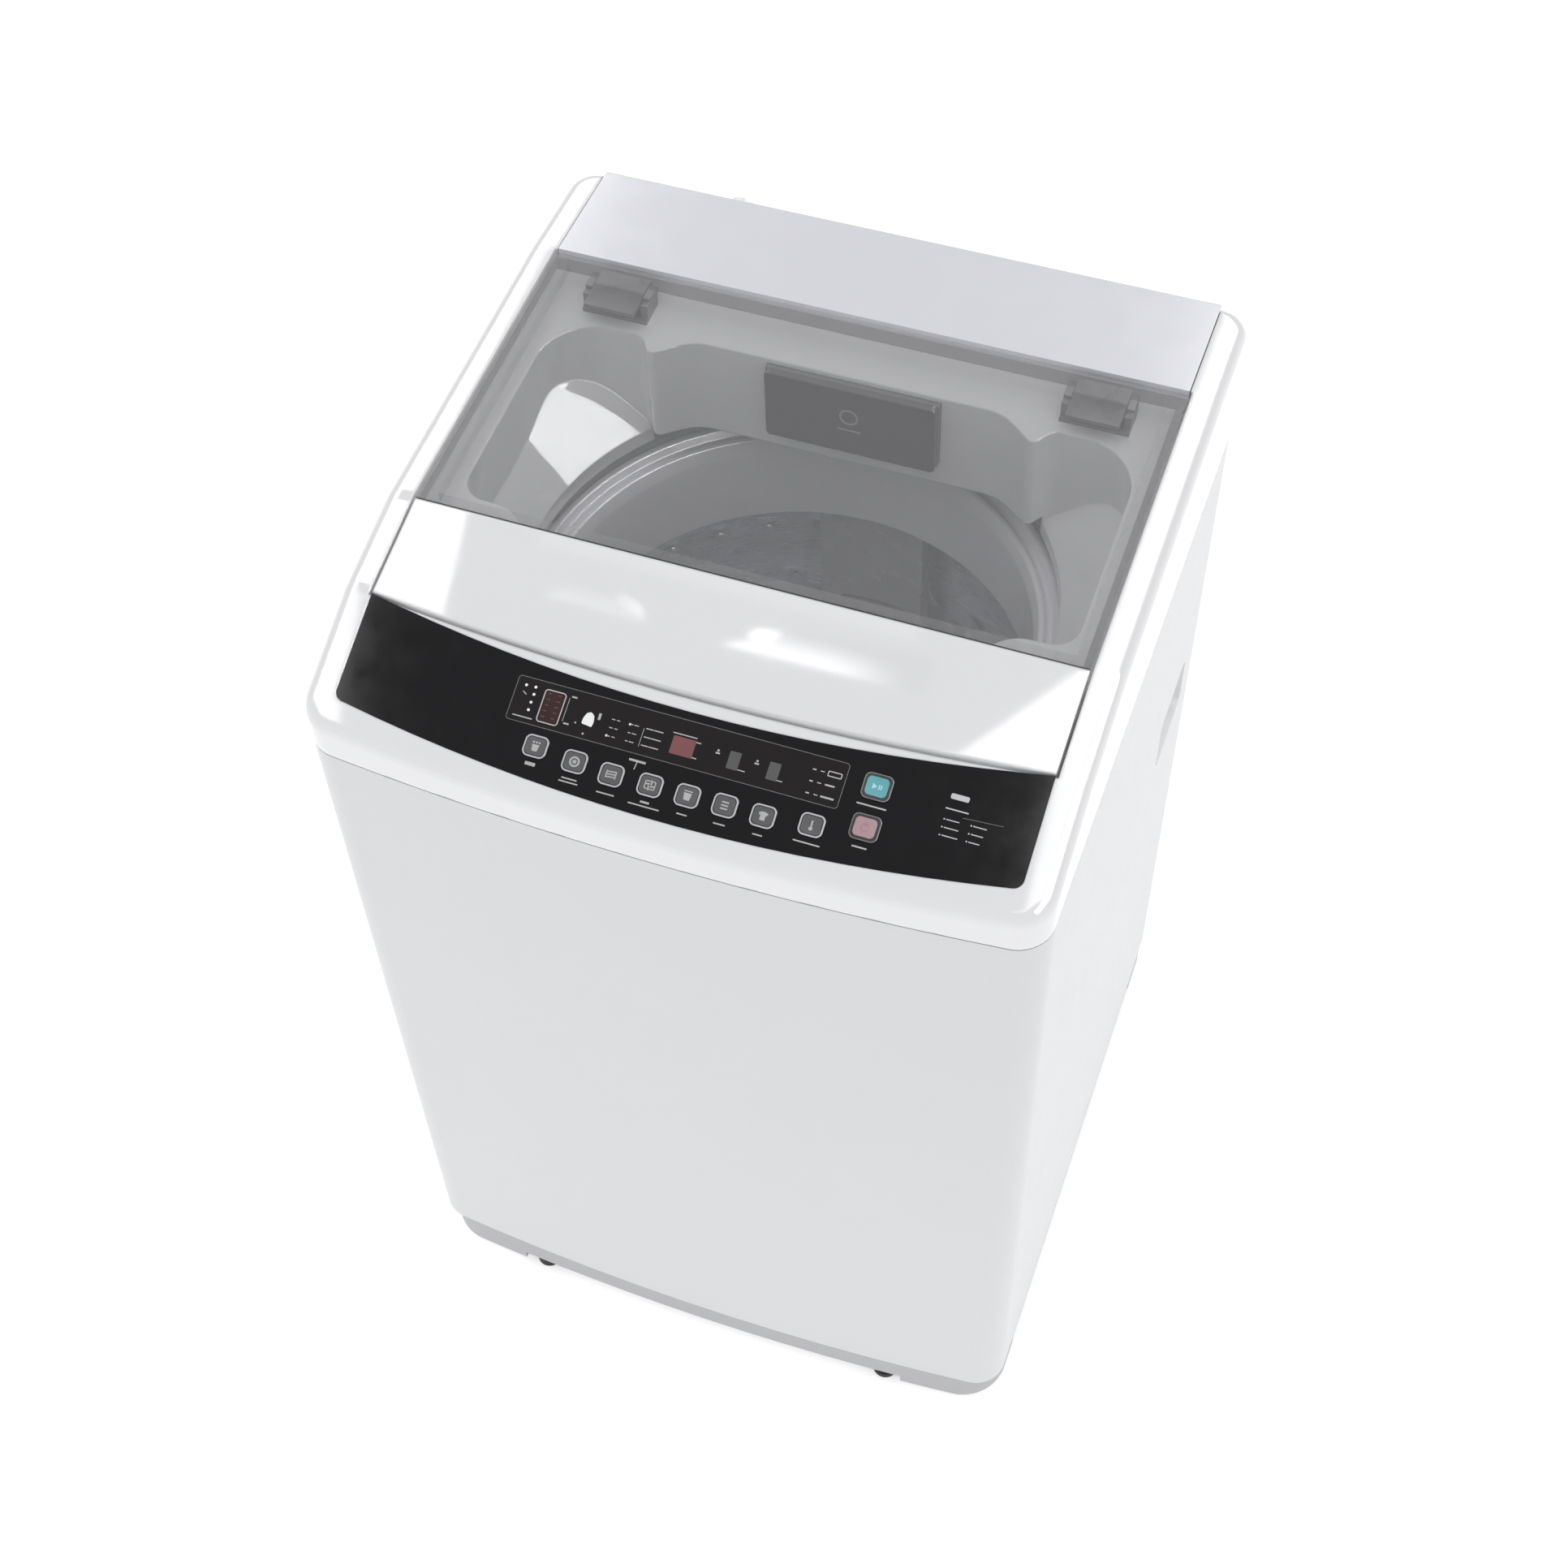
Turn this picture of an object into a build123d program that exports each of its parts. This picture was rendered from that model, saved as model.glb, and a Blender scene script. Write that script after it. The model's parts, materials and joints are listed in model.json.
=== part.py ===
from build123d import *
import math
import os

# Top load washing machine, millimetres. +Z up, front faces -Y, X = 0 is the plane of symmetry.
# The origin lies on the floor, under the centre of the whole machine.

# ---- driving dimensions: casing ----
WIDTH = 580.0
BACK_Y = 279.5
FRONT_CORNER_Y = -283.0
FRONT_BOW = 15.3
FRONT_CORNER_R = 29.0
BACK_CORNER_R = 25.0
CABINET_Z = 50.0
SEAM_Z = 796.2
SEAM_GAP = 1.0
SHEET = 1.2
WALL = 3.0
PORT_Y = 298.3
BOW_RADIUS = ((WIDTH / 2) ** 2 + FRONT_BOW**2) / (2 * FRONT_BOW)
BOW_CENTRE_Y = FRONT_CORNER_Y - FRONT_BOW + BOW_RADIUS

# ---- driving dimensions: top surface, as (y, z) from back to front ----
TOP_BACK = (173.8, 912.7)
GLASS_FRONT = (-103.7, 893.8)
LID_FRONT = (-185.3, 873.6)
PANEL_FRONT = (-262.7, 838.7)
KINK_R = 60.0
SHOULDER_R = 12.0
LID_HALF = 264.2
LID_GAP = 2.5
LID_BOW = 12.3
LEDGE_DEPTH = 22.0
LID_SKIRT = 12.0
LID_RAIL = 10.0

# ---- driving dimensions: control panel, in its own sloping plane ----
PANEL_TOP_S = 1.5
PANEL_TOP_MID_S = 25.7
PANEL_BOTTOM_S = 84.9
PANEL_BOTTOM_MID_S = 108.3
PANEL_THICK = 3.0
PANEL_GAP = 0.3
BOARD_DEPTH = 11.0
BUTTON_TRAVEL = 0.8
SMALL_KEY = (19.0, 17.5)
LARGE_KEY = (22.0, 20.0)
KEY_GAP = 0.35
KEYS = {
    "button_soak": (-103.1, 80.1, SMALL_KEY),
    "button_wash": (-71.3, 83.3, SMALL_KEY),
    "button_rinse": (-42.1, 85.3, SMALL_KEY),
    "button_spin": (-12.0, 85.1, SMALL_KEY),
    "button_level": (16.8, 85.2, SMALL_KEY),
    "button_program": (45.1, 84.7, SMALL_KEY),
    "button_delay": (74.0, 84.6, SMALL_KEY),
    "button_dry": (109.5, 81.4, SMALL_KEY),
    "button_start": (146.2, 42.6, LARGE_KEY),
    "button_power": (146.6, 72.9, LARGE_KEY),
}
WINDOW = (-133.0, 123.5, 31.5, 65.7)
WINDOW_THICK = 1.2

# ---- driving dimensions: lid hinge ----
HINGE_Y = 160.0
HINGE_Z = 904.0
HINGE_PIN_R = 2.0
HINGE_BORE_R = 2.06
HINGE_XS = (-200.5, 200.5)
GLASS_THICK = 3.2

# ---- driving dimensions: washing group ----
TUB_Y = -9.0
TUB_R = 258.0
TUB_Z = 180.0
TUB_TOP_Z = 735.0
BASKET_R = 234.0
BASKET_Z = 206.0
BASKET_TOP_Z = 738.0
RING_R = 195.0
RING_Z = 668.0
MOUTH_R = 214.0
MOUTH_Z = 774.0
MOUTH_LIP = 14.0
APRON_Z = 795.0
ROD_OFFSET = 235.0
ROD_R = 4.0
GUSSET_INSET = 2.4
SPRING_Z = 150.0
SPRING_TOP_Z = 226.0
LUG_Z = 236.0
SLEEVE_R = 16.8
SHAFT_R = 9.0
RUN_GAP = 0.05
MOTOR_Y = 160.0
BELT_Z = 68.0
BELT_H = 10.0
DRIVE_R = 71.0
MOTOR_PULLEY_R = 20.0
DRAIN_X = 150.0
DRAIN_Y = 90.0
DRAIN_OUT_Z = 95.0
INLET_X = -150.0
INLET_Z = 886.0
INLET_R = 13.2
SPIGOT_R = 15.0

# ---- driving dimensions: base and feet ----
BASE_INSET = 2.0
BASE_WIDTH = 34.0
BASE_CORNER_R = 46.0
BASE_Z = 20.0
PAD_Z = 10.0
PAD_X = 197.0
FOOT_R = 12.0
FRONT_FOOT = (178.0, -276.0)
BACK_FOOT = (200.0, 260.5)


def save(name, *shapes):
    """Writes one node; several shapes stay separate solids of that node."""
    solids = [solid for shape in shapes for solid in shape.solids()]
    node = solids[0] if len(solids) == 1 else Compound(children=solids)
    export_step(node, f"parts/{name}.step")


def outline(inset=0.0, corner=FRONT_CORNER_R):
    """Plan shape of the casing, drawn in evenly by the inset, with rounded front corners."""
    half = WIDTH / 2 - inset
    radius = BOW_RADIUS - inset
    corner_y = BOW_CENTRE_Y - math.sqrt(radius**2 - half**2)
    back_y = BACK_Y - inset
    bow = ThreePointArc((-half, corner_y), (0, BOW_CENTRE_Y - radius), (half, corner_y))
    rest = Polyline((half, corner_y), (half, back_y), (-half, back_y), (-half, corner_y))
    face = make_face([bow, *rest.edges()]).face()
    front = face.vertices().sort_by(Axis.Y)[:2]
    face = face.fillet_2d(max(corner - inset, 2.0), front)
    back = face.vertices().group_by(Axis.Y)[-1]
    return face.fillet_2d(max(BACK_CORNER_R - inset, 2.0), back)


def slab(inset, low, high, corner=FRONT_CORNER_R):
    """The casing's plan shape between two heights."""
    return extrude(Pos(0, 0, low) * outline(inset, corner), amount=high - low)


def band(outer, inner, low, high, corner=FRONT_CORNER_R):
    """A wall that follows the casing between two insets and two heights."""
    return slab(outer, low, high, corner) - slab(inner, low - 1, high + 1, corner)


def box_between(x, y, z):
    """A box from its (low, high) pairs."""
    size = (x[1] - x[0], y[1] - y[0], z[1] - z[0])
    middle = ((x[0] + x[1]) / 2, (y[0] + y[1]) / 2, (z[0] + z[1]) / 2)
    return Pos(*middle) * Box(*size)


def post(x, y, radius, low, high):
    """An upright cylinder."""
    return Pos(x, y, (low + high) / 2) * Cylinder(radius, high - low)


def tube_ring(x, y, inner, outer, low, high):
    """An upright ring."""
    return post(x, y, outer, low, high) - post(x, y, inner, low - 1, high + 1)


def rod_y(x, z, radius, low, high):
    """A cylinder lying along Y."""
    return Pos(x, (low + high) / 2, z) * Rot(90, 0, 0) * Cylinder(radius, high - low)


def rod_x(y, z, radius, low, high):
    """A cylinder lying along X."""
    return Pos((low + high) / 2, y, z) * Rot(0, 90, 0) * Cylinder(radius, high - low)


def turned(points):
    """A ring turned about the tub's axis from its (radius, z) section."""
    section = Plane.XZ * make_face(Polyline(*points, close=True))
    return Pos(0, TUB_Y, 0) * revolve(section, Axis.Z)


def slope_z(a, b, y):
    """Height at y on the line through two profile points."""
    return a[1] + (b[1] - a[1]) * (y - a[0]) / (b[0] - a[0])


def top_z(y):
    """Height of the machine's top surface at y, leaving out the rounded kinks."""
    if y >= TOP_BACK[0]:
        return TOP_BACK[1]
    if y >= GLASS_FRONT[0]:
        return slope_z(TOP_BACK, GLASS_FRONT, y)
    if y >= LID_FRONT[0]:
        return slope_z(GLASS_FRONT, LID_FRONT, y)
    return slope_z(LID_FRONT, PANEL_FRONT, y)


def under_top(drop, kink=KINK_R):
    """Everything below the top surface lowered by a drop."""
    far_y = -320.0
    points = [
        (BACK_Y + 20, TOP_BACK[1] - drop),
        (TOP_BACK[0], TOP_BACK[1] - drop),
        (GLASS_FRONT[0], GLASS_FRONT[1] - drop),
        (LID_FRONT[0], LID_FRONT[1] - drop),
        (far_y, top_z(far_y) - drop),
        (far_y, 700.0),
        (BACK_Y + 20, 700.0),
    ]
    face = (Plane.YZ * make_face(Polyline(*points, close=True))).face()
    kinks = [v for v in face.vertices() if far_y + 1 < v.Y < BACK_Y and v.Z > 701]
    face = face.fillet_2d(kink, kinks)
    return extrude(face, amount=WIDTH, both=True)


def lid_surface(drop):
    """Everything below the lid's own top, which runs on straight past the panel's top edge."""
    far_y = LID_FRONT[0] - 2 * LID_BOW
    points = [
        (BACK_Y, TOP_BACK[1] - drop),
        (TOP_BACK[0], TOP_BACK[1] - drop),
        (GLASS_FRONT[0], GLASS_FRONT[1] - drop),
        (far_y, slope_z(GLASS_FRONT, LID_FRONT, far_y) - drop),
        (far_y, 780.0),
        (BACK_Y, 780.0),
    ]
    face = (Plane.YZ * make_face(Polyline(*points, close=True))).face()
    return extrude(face, amount=WIDTH, both=True)


def top_mass(inset, drop, shoulder):
    """The top casing as one solid block with its rounded shoulder."""
    block = slab(inset, SEAM_Z, SEAM_Z + 140) & under_top(drop)
    rim = []
    for edge in block.edges():
        box = edge.bounding_box()
        across = box.size.X > WIDTH / 2 and box.size.Y < 0.01 and box.center().Y < BACK_Y - 40
        if box.min.Z > SEAM_Z + 5 and not across:
            rim.append(edge)
    return fillet(rim, shoulder)


def lid_plan(grow, back):
    """Plan shape of the lid, grown evenly, with its bowed front."""
    half = LID_HALF + grow
    corner_y = LID_FRONT[0] - grow
    bow = ThreePointArc((-half, corner_y), (0, corner_y - LID_BOW), (half, corner_y))
    rest = Polyline((half, corner_y), (half, back), (-half, back), (-half, corner_y))
    return make_face([bow, *rest.edges()]).face()


PANEL_SLOPE = math.atan2(LID_FRONT[1] - PANEL_FRONT[1], LID_FRONT[0] - PANEL_FRONT[0])
PANEL_PLANE = Plane(
    origin=(0, LID_FRONT[0], LID_FRONT[1]),
    x_dir=(1, 0, 0),
    z_dir=(0, -math.sin(PANEL_SLOPE), math.cos(PANEL_SLOPE)),
)


def panel_plan(shrink):
    """Outline of the control panel in its plane; y is measured up the slope."""
    half = LID_HALF - shrink
    top = -PANEL_TOP_S - shrink
    top_mid = -PANEL_TOP_MID_S - shrink
    low = -PANEL_BOTTOM_S + shrink
    low_mid = -PANEL_BOTTOM_MID_S + shrink
    upper = ThreePointArc((-half, top), (0, top_mid), (half, top))
    lower = ThreePointArc((half, low), (0, low_mid), (-half, low))
    sides = [Line((half, top), (half, low)), Line((-half, low), (-half, top))]
    face = make_face([upper, lower, *sides]).face()
    return face.fillet_2d(8.0, face.vertices().sort_by(Axis.Y)[:2])


def on_panel(face, top, bottom):
    """A solid over a face of the panel plane, between two depths below the surface."""
    return extrude(PANEL_PLANE * (Pos(0, 0, -bottom) * face), amount=bottom - top)


def key_face(x, s, size, grow):
    """A rounded key outline."""
    return Pos(x, -s) * RectangleRounded(size[0] + 2 * grow, size[1] + 2 * grow, 5.0 + grow)


def basin_plan(grow):
    """Opening under the lid: a wide square with two lobes beside the hinges, closed in front."""
    half = [
        (130, 131 + grow, 40.0),
        (160, 107 + grow, 6.0),
        (172, 125 + grow, 12.0),
        (245 + grow, 125 + grow, 48.0),
        (245 + grow, -72 - grow, 20.0),
        (200, -74 - grow, 30.0),
        (120, -150 - grow, 50.0),
    ]
    other = [(-x, y, r) for x, y, r in reversed(half)]
    points = [(x, y) for x, y, _ in half + other]
    radii = [r for _, _, r in half + other]
    return make_face(FilletPolyline(*points, radius=radii, close=True))


def basin_cone(grow):
    """The round mouth above the basket, opening out at 45 degrees."""
    lip_z = MOUTH_Z + MOUTH_LIP - grow * 0.4
    high = 940.0
    top_r = MOUTH_R + grow + high - lip_z
    section = [(0, 700.0), (MOUTH_R + grow, 700.0), (MOUTH_R + grow, lip_z), (top_r, high), (0, high)]
    return turned(section)


def basin_body(grow):
    """Solid shape of the funnel."""
    return extrude(Pos(0, 0, MOUTH_Z) * basin_plan(grow), amount=160) & basin_cone(grow)


def cabinet_shell():
    """Folded sheet round the front and sides, with flanges at the back and handle cut-outs."""
    shell = band(0, SHEET, CABINET_Z, SEAM_Z - SEAM_GAP)
    shell -= box_between((-240, 240), (240, 300), (66, 786))
    for side in (-1, 1):
        shell -= handle_block(side, 0.0)
    return shell


HANDLE_Y = (128.0, 222.0)
HANDLE_Z = (496.0, 562.0)


def handle_block(side, shrink):
    """Block through the side sheet where a carrying recess goes."""
    length = HANDLE_Y[1] - HANDLE_Y[0] - 2 * shrink
    height = HANDLE_Z[1] - HANDLE_Z[0] - 2 * shrink
    middle = (side * (WIDTH / 2), sum(HANDLE_Y) / 2, sum(HANDLE_Z) / 2)
    block = Pos(*middle) * Box(60, length, height)
    return fillet(block.edges().filter_by(Axis.X), 14 - shrink)


def side_handle(side):
    """Moulded cup that lines one carrying recess."""
    half = WIDTH / 2
    cup = handle_block(side, 0.3) & box_between((-half, half), (100, 250), (450, 600))
    hollow = handle_block(side, 2.8)
    hollow -= box_between((-half + 26, half - 26), (100, 250), (450, 600))
    flange = Pos(side * (half - SHEET - 1.2), sum(HANDLE_Y) / 2, sum(HANDLE_Z) / 2) * Box(2.0, 110, 82)
    return cup + flange - hollow


def back_panel():
    """Flat rear cover with pressed ribs and the drain hole."""
    face_y = BACK_Y - SHEET
    panel = box_between((-255, 255), (face_y - 0.9, face_y), (CABINET_Z + 17, SEAM_Z - 13.2))
    for height in range(160, 760, 100):
        panel += box_between((-190, 190), (face_y - 3.0, face_y - 0.9), (height - 2, height + 2))
    panel -= rod_y(DRAIN_X, DRAIN_OUT_Z, SPIGOT_R + 0.2, face_y - 10, face_y + 10)
    return panel


def base_frame():
    """Plastic channel ring that carries the sheet casing, with a pad under each corner."""
    inner = BASE_INSET + BASE_WIDTH
    ring = band(BASE_INSET, inner, BASE_Z, CABINET_Z, BASE_CORNER_R)
    ring -= band(BASE_INSET + 4, inner - 4, BASE_Z + 4, CABINET_Z + 5, BASE_CORNER_R)
    ring += band(1.4, BASE_INSET + 16, CABINET_Z, CABINET_Z + 3)
    ring += band(1.4, 4.4, CABINET_Z, CABINET_Z + 16)
    pads = band(BASE_INSET, inner, PAD_Z, BASE_Z, BASE_CORNER_R)
    pads -= box_between((-PAD_X, PAD_X), (-320, 320), (0, 40))
    corners = box_between((PAD_X + 24, 320), (-320, -215), (0, 40))
    corners += box_between((PAD_X + 24, 320), (215, 320), (0, 40))
    pads &= corners + mirror(corners, Plane.YZ) + box_between((-320, 320), (-320, -240), (0, 40))
    ring += pads
    for x, y in foot_places():
        ring -= post(x, y, 5.2, 0, 30)
    return ring


def foot_places():
    """Centres of the four feet, the adjustable one last."""
    return [
        (-BACK_FOOT[0], BACK_FOOT[1]),
        (BACK_FOOT[0], BACK_FOOT[1]),
        (-FRONT_FOOT[0], FRONT_FOOT[1]),
        FRONT_FOOT,
    ]


def foot(x, y, radius, stud_r):
    """A pad with its stud, standing on the floor."""
    pad = post(x, y, radius, 0, BASE_Z - 0.2)
    pad = chamfer(pad.edges().group_by(Axis.Z)[0], 1.5)
    return pad + post(x, y, stud_r, BASE_Z - 1, BASE_Z + 18)


def adjustable_foot():
    """Screw foot with a hexagon to turn it by."""
    x, y = FRONT_FOOT
    pad = post(x, y, FOOT_R, 0, 8)
    pad = chamfer(pad.edges().group_by(Axis.Z)[0], 1.5)
    nut = Pos(x, y, 8) * extrude(RegularPolygon(9, 6), amount=BASE_Z - 8.3)
    return pad + nut + post(x, y, 5.1, BASE_Z - 1, BASE_Z + 22)


def rod_places():
    """Centres of the four suspension rods."""
    return [(sx * ROD_OFFSET, TUB_Y + sy * ROD_OFFSET) for sx in (-1, 1) for sy in (-1, 1)]


def corner_gusset(x, y):
    """Corner plate that a suspension rod hangs from."""
    low_x, high_x = sorted((x - math.copysign(36, x), x + math.copysign(80, x)))
    low_y, high_y = sorted((y - math.copysign(36, y), y + math.copysign(80, y)))
    plate = slab(GUSSET_INSET, 762, 766) & box_between((low_x, high_x), (low_y, high_y), (740, 780))
    wall = band(GUSSET_INSET, GUSSET_INSET + 2, 736, 762)
    wall &= box_between((low_x, high_x), (low_y, high_y), (730, 780))
    return plate + wall - post(x, y, ROD_R + 1, 700, 800)


def suspension_rod(x, y):
    """Hanger rod with its head above the gusset and its seat under the spring."""
    head = post(x, y, 11, 766, 774)
    head = fillet(head.edges().group_by(Axis.Z)[-1], 5)
    seat = post(x, y, 16, SPRING_Z - 6, SPRING_Z)
    return post(x, y, ROD_R, SPRING_Z - 12, 768) + head + seat


def suspension_spring(x, y):
    """Coil spring between the rod's seat and the damper cup."""
    wire = 1.4
    coil = 11.0
    height = SPRING_TOP_Z - SPRING_Z - 2 * wire
    helix = Helix(pitch=height / 6, height=height, radius=coil)
    start = Plane(origin=helix @ 0, z_dir=helix % 0)
    return Pos(x, y, SPRING_Z + wire) * sweep(start * Circle(wire), path=helix)


def damper_cup(x, y):
    """Cup under a tub lug that slides along the rod on top of the spring."""
    cup = post(x, y, 18, SPRING_TOP_Z - 14, LUG_Z)
    cup -= post(x, y, 15.2, 0, SPRING_TOP_Z)
    return cup - post(x, y, ROD_R + 1.2, 0, 400)


def outer_tub():
    """Plastic water tub with four lugs, a sump outlet and bosses for the drive plate."""
    wall = turned([(TUB_R - 3, TUB_Z + 4), (TUB_R, TUB_Z), (TUB_R, TUB_TOP_Z), (TUB_R - 3, TUB_TOP_Z)])
    tub = wall + post(0, TUB_Y, TUB_R, TUB_Z, TUB_Z + 4)
    for x, y in rod_places():
        angle = math.degrees(math.atan2(y - TUB_Y, x))
        arm = Pos(0, TUB_Y, 0) * Rot(0, 0, angle) * Pos(302, 0, LUG_Z + 8) * Box(94, 40, 16)
        tub += arm - post(0, TUB_Y, TUB_R - 1, LUG_Z - 10, LUG_Z + 30)
    for x, y in rod_places():
        tub -= post(x, y, ROD_R + 3, LUG_Z - 20, LUG_Z + 40)
    for height in (330, 480, 630):
        tub += tube_ring(0, TUB_Y, TUB_R - 1, TUB_R + 3, height, height + 5)
    for x, y in plate_places():
        tub += post(x, y, 12, TUB_Z - 8, TUB_Z + 1)
    tub += tube_ring(DRAIN_X, DRAIN_Y, 12, 16, TUB_Z - 14, TUB_Z + 2)
    tub -= post(DRAIN_X, DRAIN_Y, 12, TUB_Z - 20, TUB_Z + 10)
    return tub - post(0, TUB_Y, 32, TUB_Z - 10, TUB_Z + 10)


def plate_places():
    """Centres of the screws that hold the drive plate under the tub."""
    return [(sx * 80, y) for sx in (-1, 1) for y in (-100, 70)]


def tub_ring():
    """Cover ring clipped over the rim of the water tub."""
    section = [
        (224, 746),
        (226.5, 746),
        (226.5, 755),
        (TUB_R + 0.3, 755),
        (TUB_R + 0.3, 722),
        (TUB_R + 3, 722),
        (TUB_R + 3, 758),
        (224, 758),
    ]
    return turned(section)


def support_plate():
    """Steel plate under the tub that carries the gearbox and the motor."""
    plate = box_between((-98, 98), (-125, 232), (TUB_Z - 12, TUB_Z - 8))
    plate = fillet(plate.edges().filter_by(Axis.Z), 14)
    plate -= post(0, TUB_Y, 34, 100, 200)
    plate -= post(0, MOTOR_Y, 8, 100, 200)
    return plate


def gearbox():
    """Housing of the clutch and reduction gear, bored for the bearings."""
    top = TUB_Z - 12
    body = post(0, TUB_Y, 62, 100, top - 8) + post(0, TUB_Y, 76, top - 8, top)
    body = fillet(body.edges().group_by(Axis.Z)[0], 6)
    body -= post(0, TUB_Y, 28, 114, top + 5)
    return body - post(0, TUB_Y, SHAFT_R + 0.5, 90, 120)


def shaft_bearings():
    """Two ball bearings that carry the basket's sleeve."""
    return [tube_ring(0, TUB_Y, SLEEVE_R + RUN_GAP, 27.95, low, low + 12) for low in (118, 152)]


def shaft_seal():
    """Lip seal in the floor of the tub."""
    section = [
        (SLEEVE_R + RUN_GAP, TUB_Z - 4),
        (31.8, TUB_Z - 4),
        (31.8, TUB_Z + 6),
        (24, TUB_Z + 6),
        (20, TUB_Z + 12),
        (SLEEVE_R + RUN_GAP, TUB_Z + 12),
    ]
    return turned(section)


def basket_drum():
    """Sheet steel drum with rows of drain holes."""
    drum = tube_ring(0, TUB_Y, BASKET_R - 0.8, BASKET_R, BASKET_Z, BASKET_TOP_Z)
    holes = []
    for row, height in enumerate(range(260, 660, 80)):
        for step in range(24):
            angle = 15 * step + 7.5 * (row % 2)
            holes.append(Pos(0, TUB_Y, height) * Rot(0, 90, angle) * Pos(0, 0, BASKET_R) * Cylinder(2.5, 6))
    return drum - holes


def balance_ring():
    """Hollow ring on top of the drum, with two ridges round its mouth."""
    section = [
        (RING_R, RING_Z),
        (BASKET_R - 1, RING_Z),
        (BASKET_R - 1, 740),
        (221, 740),
        (221, 757),
        (218, 761),
        (213, 761),
        (209, 754),
        (206, 754),
        (203, 757),
        (199, 756),
        (RING_R, 744),
    ]
    return turned(section)


def basket_base():
    """Cast floor of the basket."""
    rim = BASKET_R - 1
    section = [
        (SLEEVE_R + 0.2, BASKET_Z),
        (rim, BASKET_Z),
        (rim, BASKET_Z + 22),
        (rim - 3, BASKET_Z + 22),
        (rim - 5, BASKET_Z + 5),
        (SLEEVE_R + 0.2, BASKET_Z + 5),
    ]
    return turned(section)


def basket_hub():
    """Flanged sleeve that carries the basket."""
    flange = tube_ring(0, TUB_Y, SHAFT_R + RUN_GAP, 70, BASKET_Z + 5, BASKET_Z + 11)
    sleeve = tube_ring(0, TUB_Y, SHAFT_R + RUN_GAP, SLEEVE_R, 116, BASKET_Z + 6)
    return flange + sleeve


def lint_filter(side):
    """Pocket against the drum wall that catches lint."""
    inner = BASKET_R - 1.2
    body = tube_ring(0, TUB_Y, inner - 22, inner, 300, RING_Z - 4)
    body &= Pos(0, TUB_Y + side * 220, 480) * Box(96, 80, 420)
    slots = [Pos(0, TUB_Y + side * 220, z) * Box(60, 80, 6) for z in range(330, 560, 18)]
    return body - slots


def pulsator():
    """Rotor at the bottom of the basket with three tall vanes."""
    disc = turned(
        [
            (SHAFT_R + 0.05, BASKET_Z + 16),
            (160, BASKET_Z + 16),
            (168, BASKET_Z + 22),
            (168, BASKET_Z + 26),
            (150, BASKET_Z + 24),
            (46, BASKET_Z + 34),
            (34, BASKET_Z + 58),
            (SHAFT_R + 0.05, BASKET_Z + 62),
        ]
    )
    for step in range(3):
        vane = Rot(0, 0, 120 * step + 90) * Pos(90, 0, 0) * Box(120, 18, 34)
        vane = fillet(vane.edges().filter_by(Axis.Z), 8.5)
        disc += Pos(0, TUB_Y, BASKET_Z + 37) * vane
    return disc - post(0, TUB_Y, SHAFT_R + 0.05, 200, 300)


def pulsator_shaft():
    """Output shaft from the gearbox to the pulsator."""
    return post(0, TUB_Y, SHAFT_R, 108, BASKET_Z + 58)


def pulsator_screw():
    """Screw and cap that hold the pulsator on its shaft."""
    cap = post(0, TUB_Y, 16, BASKET_Z + 62, BASKET_Z + 67)
    return fillet(cap.edges().group_by(Axis.Z)[-1], 3)


def vee_pulley(y, groove_r, shaft_r, shaft_top):
    """Flat-groove pulley on its own shaft."""
    low = BELT_Z
    wheel = post(0, y, groove_r + 4, low - 2, low)
    wheel += post(0, y, groove_r, low, low + BELT_H)
    wheel += post(0, y, groove_r + 4, low + BELT_H, low + BELT_H + 2)
    return wheel, post(0, y, shaft_r, low - 6, shaft_top)


def drive_pulley():
    """Large pulley with its input shaft; four holes lighten the web."""
    wheel, shaft = vee_pulley(TUB_Y, DRIVE_R, SHAFT_R - 0.1, 105)
    for step in range(4):
        wheel -= Pos(0, TUB_Y, BELT_Z + 5) * Rot(0, 0, 90 * step + 45) * Pos(42, 0, 0) * Cylinder(14, 40)
    return wheel + shaft


def motor_parts():
    """Motor housing, rotor with shaft, and pulley, in that order."""
    housing = post(0, MOTOR_Y, 60, 92, TUB_Z - 12)
    housing = fillet(housing.edges().group_by(Axis.Z)[0], 8)
    housing -= post(0, MOTOR_Y, 37, 100, 152)
    housing -= post(0, MOTOR_Y, 6 + RUN_GAP, 80, 160)
    rotor = post(0, MOTOR_Y, 36, 102, 150) + post(0, MOTOR_Y, 6, BELT_Z - 6, 158)
    wheel, _ = vee_pulley(MOTOR_Y, MOTOR_PULLEY_R, 6, 90)
    pulley = wheel - post(0, MOTOR_Y, 6, 50, 100)
    return housing, rotor, pulley


def belt_loop(grow):
    """Face that wraps both pulleys at a distance from their grooves."""
    big = Pos(0, TUB_Y) * Circle(DRIVE_R + grow)
    small = Pos(0, MOTOR_Y) * Circle(MOTOR_PULLEY_R + grow)
    return make_hull([*big.edges(), *small.edges()])


def drive_belt():
    """Belt that joins the motor pulley to the large pulley."""
    loop = extrude(Pos(0, 0, BELT_Z + 0.5) * belt_loop(5.3), amount=BELT_H - 1)
    return loop - extrude(Pos(0, 0, BELT_Z - 1) * belt_loop(0.3), amount=BELT_H + 2)


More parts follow.
